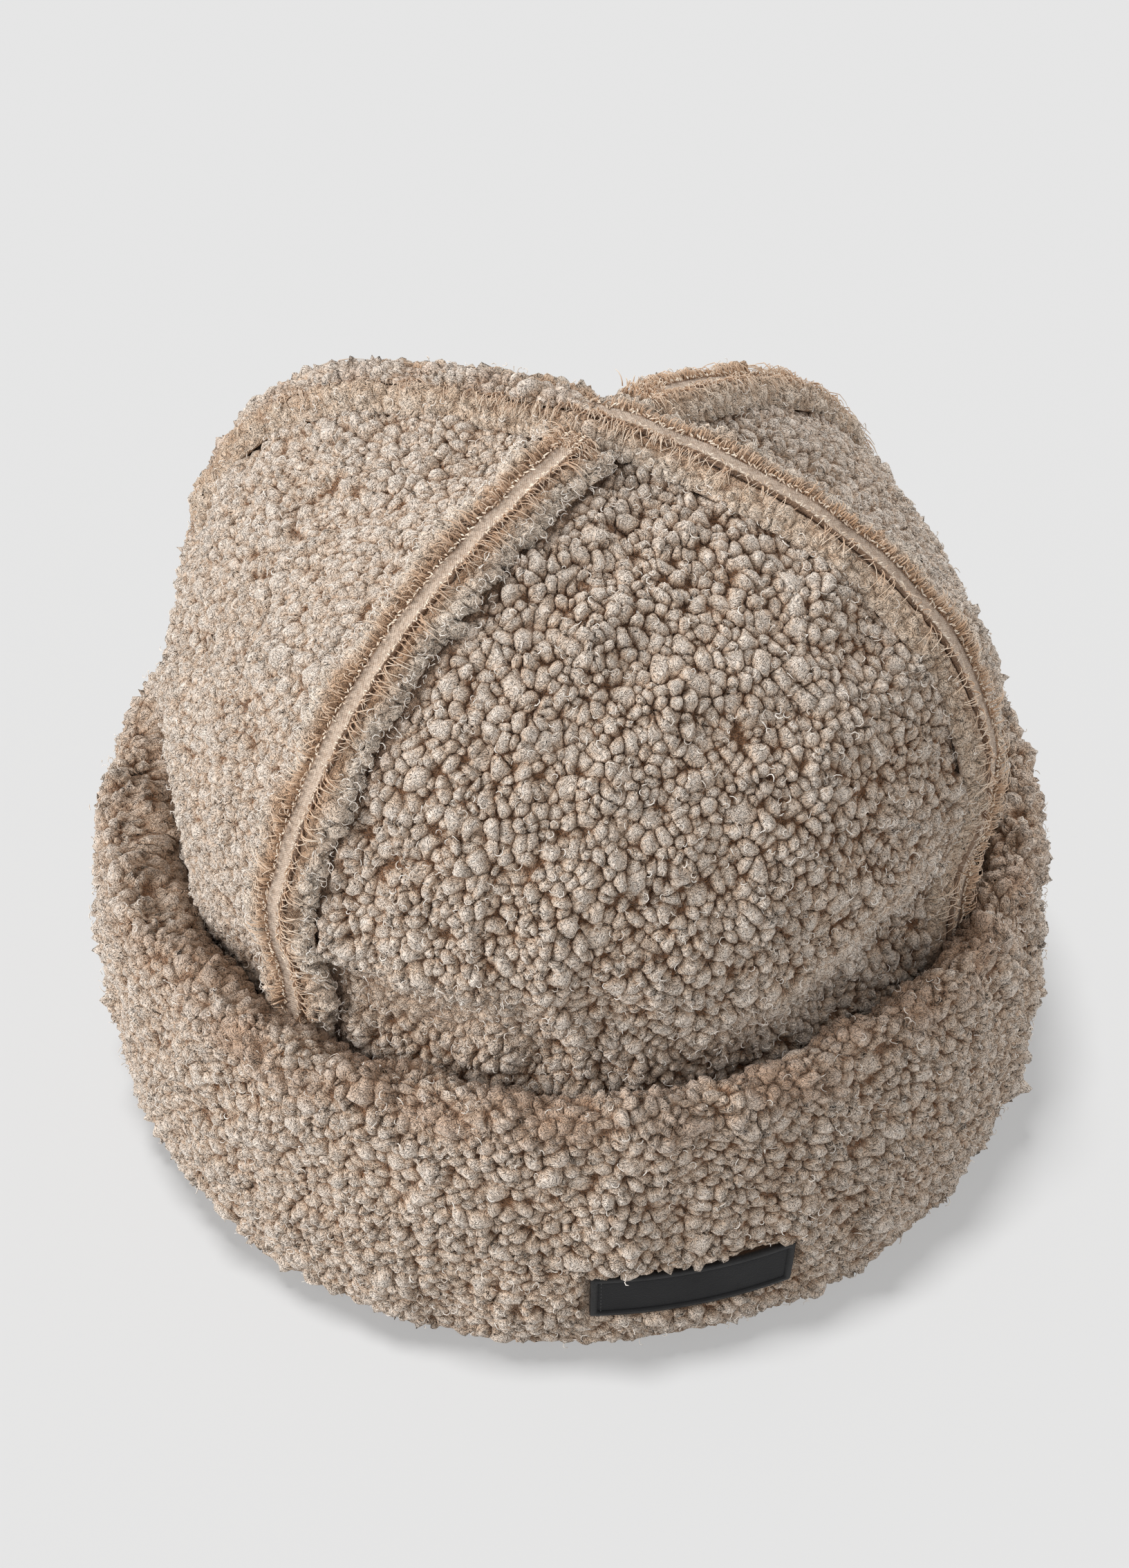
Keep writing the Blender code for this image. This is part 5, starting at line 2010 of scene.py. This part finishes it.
@dataclass(frozen=True)
class Stage:
    """A pale floor, soft light from the upper left, and the camera at the photograph's angle."""

    floor_half: float = 6.0
    floor_shade: float = 0.18
    floor_glow: float = 0.40
    sky: float = 0.40
    lamps: tuple[Lamp, ...] = (
        Lamp("left_softbox", (0.87, 0.25, -0.42), 3.1, 0.7),
        Lamp("right_softbox", (-0.72, 0.10, -0.69), 0.60, 1.2),
        Lamp("back_softbox", (-0.25, -0.70, -0.67), 1.45, 0.7),
        Lamp("front_softbox", (-0.10, 0.55, -0.83), 0.15, 1.2),
        Lamp("floor_softbox", (0.14, 0.06, -0.985), 5.6, 0.25, lights_floor=True),
    )
    elevation: float = 41.44
    distance: float = 1.0007
    focal: float = 5953.5
    aim_height: float = 0.081
    aim_pixels: Pair = (831.2, 1153.5)

    def build(self) -> None:
        """Make the floor, the lights and the camera."""
        half = self.floor_half
        mesh = bpy.data.meshes.new("floor")
        corners = [(-half, -half, 0), (half, -half, 0), (half, half, 0), (-half, half, 0)]
        mesh.from_pydata(corners, [], [(0, 1, 2, 3)])
        floor = bpy.data.objects.new("floor", mesh)
        bpy.context.scene.collection.objects.link(floor)
        shader = Shader.fresh("floor_paper")
        shader.plain(Base_Color=(*[self.floor_shade] * 3, 1.0), Roughness=0.9, Specular_IOR_Level=0.0)
        shader.plain(Emission_Color=(1.0, 1.0, 1.0, 1.0), Emission_Strength=self.floor_glow)
        mesh.materials.append(shader.material)
        world = bpy.data.worlds.new("studio")
        bpy.context.scene.world = world
        world.use_nodes = True
        background = world.node_tree.nodes["Background"]
        background.inputs["Color"].default_value = (1.0, 1.0, 1.0, 1.0)
        background.inputs["Strength"].default_value = self.sky
        for lamp in self.lamps:
            lamp.build(floor)
        self.camera()

    def camera(self) -> None:
        """Place the camera: it looks down at its elevation, stepped aside so that the aim's pixel fits."""
        angle = math.radians(self.elevation)
        up = np.array([0.0, math.sin(angle), math.cos(angle)])
        ahead = np.array([0.0, math.cos(angle), -math.sin(angle)])
        pixel = self.distance / self.focal
        aim = np.array([0.0, 0.0, self.aim_height]) - MIDDLE
        aim[0] -= (self.aim_pixels[0] - PHOTO_SIZE[0] / 2) * pixel
        aim += up * (self.aim_pixels[1] - PHOTO_SIZE[1] / 2) * pixel
        data = bpy.data.cameras.new("camera")
        data.sensor_width, data.lens = 36.0, self.focal / PHOTO_SIZE[1] * 36.0
        camera = bpy.data.objects.new("camera", data)
        camera.location = aim - ahead * self.distance
        camera.rotation_euler = (math.pi / 2 - angle, 0.0, 0.0)
        bpy.context.scene.collection.objects.link(camera)
        bpy.context.scene.camera = camera
        bpy.context.scene.view_settings.view_transform = "Standard"


def crown_panels(pile: Material) -> tuple[Panel, ...]:
    """The four panels, the finer ones towards the camera.

    Args:
        pile: their finish.

    Returns:
        The panels, from the front on towards the right.
    """
    front = Panel(
        "panel_front", "front_left", "front_right", pile, 11, Cut(pitch=0.0028, height=0.0027, crevice_shade=1.24),
        calms=(Dent(-22.0, 0.475, 15.0, 0.060, 0.0, 0.62), Dent(38.0, 0.545, 20.0, 0.030, 0.09, 0.60)),
        shadows=(1.0, 0.0), spacing=0.00062, curled=0.50,
    )
    right = Panel(
        "panel_right", "front_right", "back_right", pile, 12, Cut(pitch=0.0026, height=0.0021),
        shadows=(0.9, 0.4), spacing=0.00074,
    )
    back = Panel(
        "panel_back", "back_right", "back_left", pile, 13, Cut(pitch=0.0026, height=0.0021),
        spacing=0.00110, curled=0.16,
    )
    left = Panel(
        "panel_left", "back_left", "front_left", pile, 14,
        Cut(pitch=0.0026, height=0.0018, tousle=0.0006, rough=0.00007),
        shadows=(0.0, 0.2), spacing=0.00072,
    )
    return front, right, back, left


def crown_seams(pile: Material, strands: Tubes) -> tuple[SeamWork, ...]:
    """The long seam and the two short ones that butt against it.

    Args:
        pile: the finish of the pile that covers the tape.
        strands: the maker of the cut strands.

    Returns:
        The seams.
    """
    welt = PileFinish(
        "seam_pile", middle=(0.74, 0.56, 0.41), tip=(0.90, 0.77, 0.64), brown=(0.66, 0.42, 0.26)
    )
    thread = StrandFinish("seam_thread", (0.62, 0.43, 0.29), (0.97, 0.85, 0.70))
    finishes = welt.made(), TapeFinish().made(), thread.made()
    short_clear = 0.0098 / math.sin(math.radians(64.0 + 41.0))  # the long welt's half width, met at a slant
    full = Curve((0.0, 1.0), (1.0, 1.0))
    over_top = (0.0, 0.40, 0.50, 0.60, 1.0)
    long = SeamWork(
        "long", ("front_right", "back_left"), *finishes, strands, 21,
        near_side=Curve(over_top, (0.10, 0.15, 0.70, 0.30, 0.30)),
        far_side=Curve(over_top, (1.0, 1.0, 1.0, 0.5, 0.5)),
        ridge=Curve((0.0, 0.49, 0.53, 0.60, 0.80, 1.0), (0.0, 0.0, 0.0014, 0.0022, 0.0018, 0.0008)),
        cover=Cover(pile, 0.512, 0.93),
    )
    front_left = SeamWork(
        "front_left", ("front_left",), *finishes, strands, 22, near_side=full, far_side=full,
        ridge=Curve((0.0, 0.9, 1.0), (0.0, 0.0, 0.0012)), end_clear=short_clear, curled=1.0,
    )
    back_right = SeamWork(
        "back_right", ("back_right",), *finishes, strands, 23,
        near_side=Curve((0.0, 1.0), (0.4, 0.4)), far_side=full,
        ridge=Curve((0.0, 0.7, 1.0), (0.0, 0.0010, 0.0010)), end_clear=short_clear,
    )
    return long, front_left, back_right


def main() -> None:
    """Build the beanie piece by piece, then its stage."""
    pile = PileFinish().made()
    curls = Tubes(StrandFinish("curl", (0.70, 0.60, 0.50), (0.93, 0.87, 0.80)).made())
    strands = Tubes(StrandFinish("cut_strand", (0.58, 0.37, 0.225), (0.93, 0.81, 0.67)).made())
    dark_thread = StrandFinish("patch_thread", (0.05, 0.05, 0.05), (0.10, 0.10, 0.10))
    for panel in crown_panels(pile):
        panel.build_curls(curls, panel.build())
    patch = Patch(RubberFinish().made(), dark_thread.made())
    patch.build()
    cuff = Cuff(pile)
    cuff.build_curls(curls, cuff.build(patch), patch)
    for seam in crown_seams(pile, strands):
        seam.build_curls(curls, *seam.build())
    Stage().build()


if __name__ == "__main__":
    logging.basicConfig(level=logging.INFO, format="%(message)s")
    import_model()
    main()
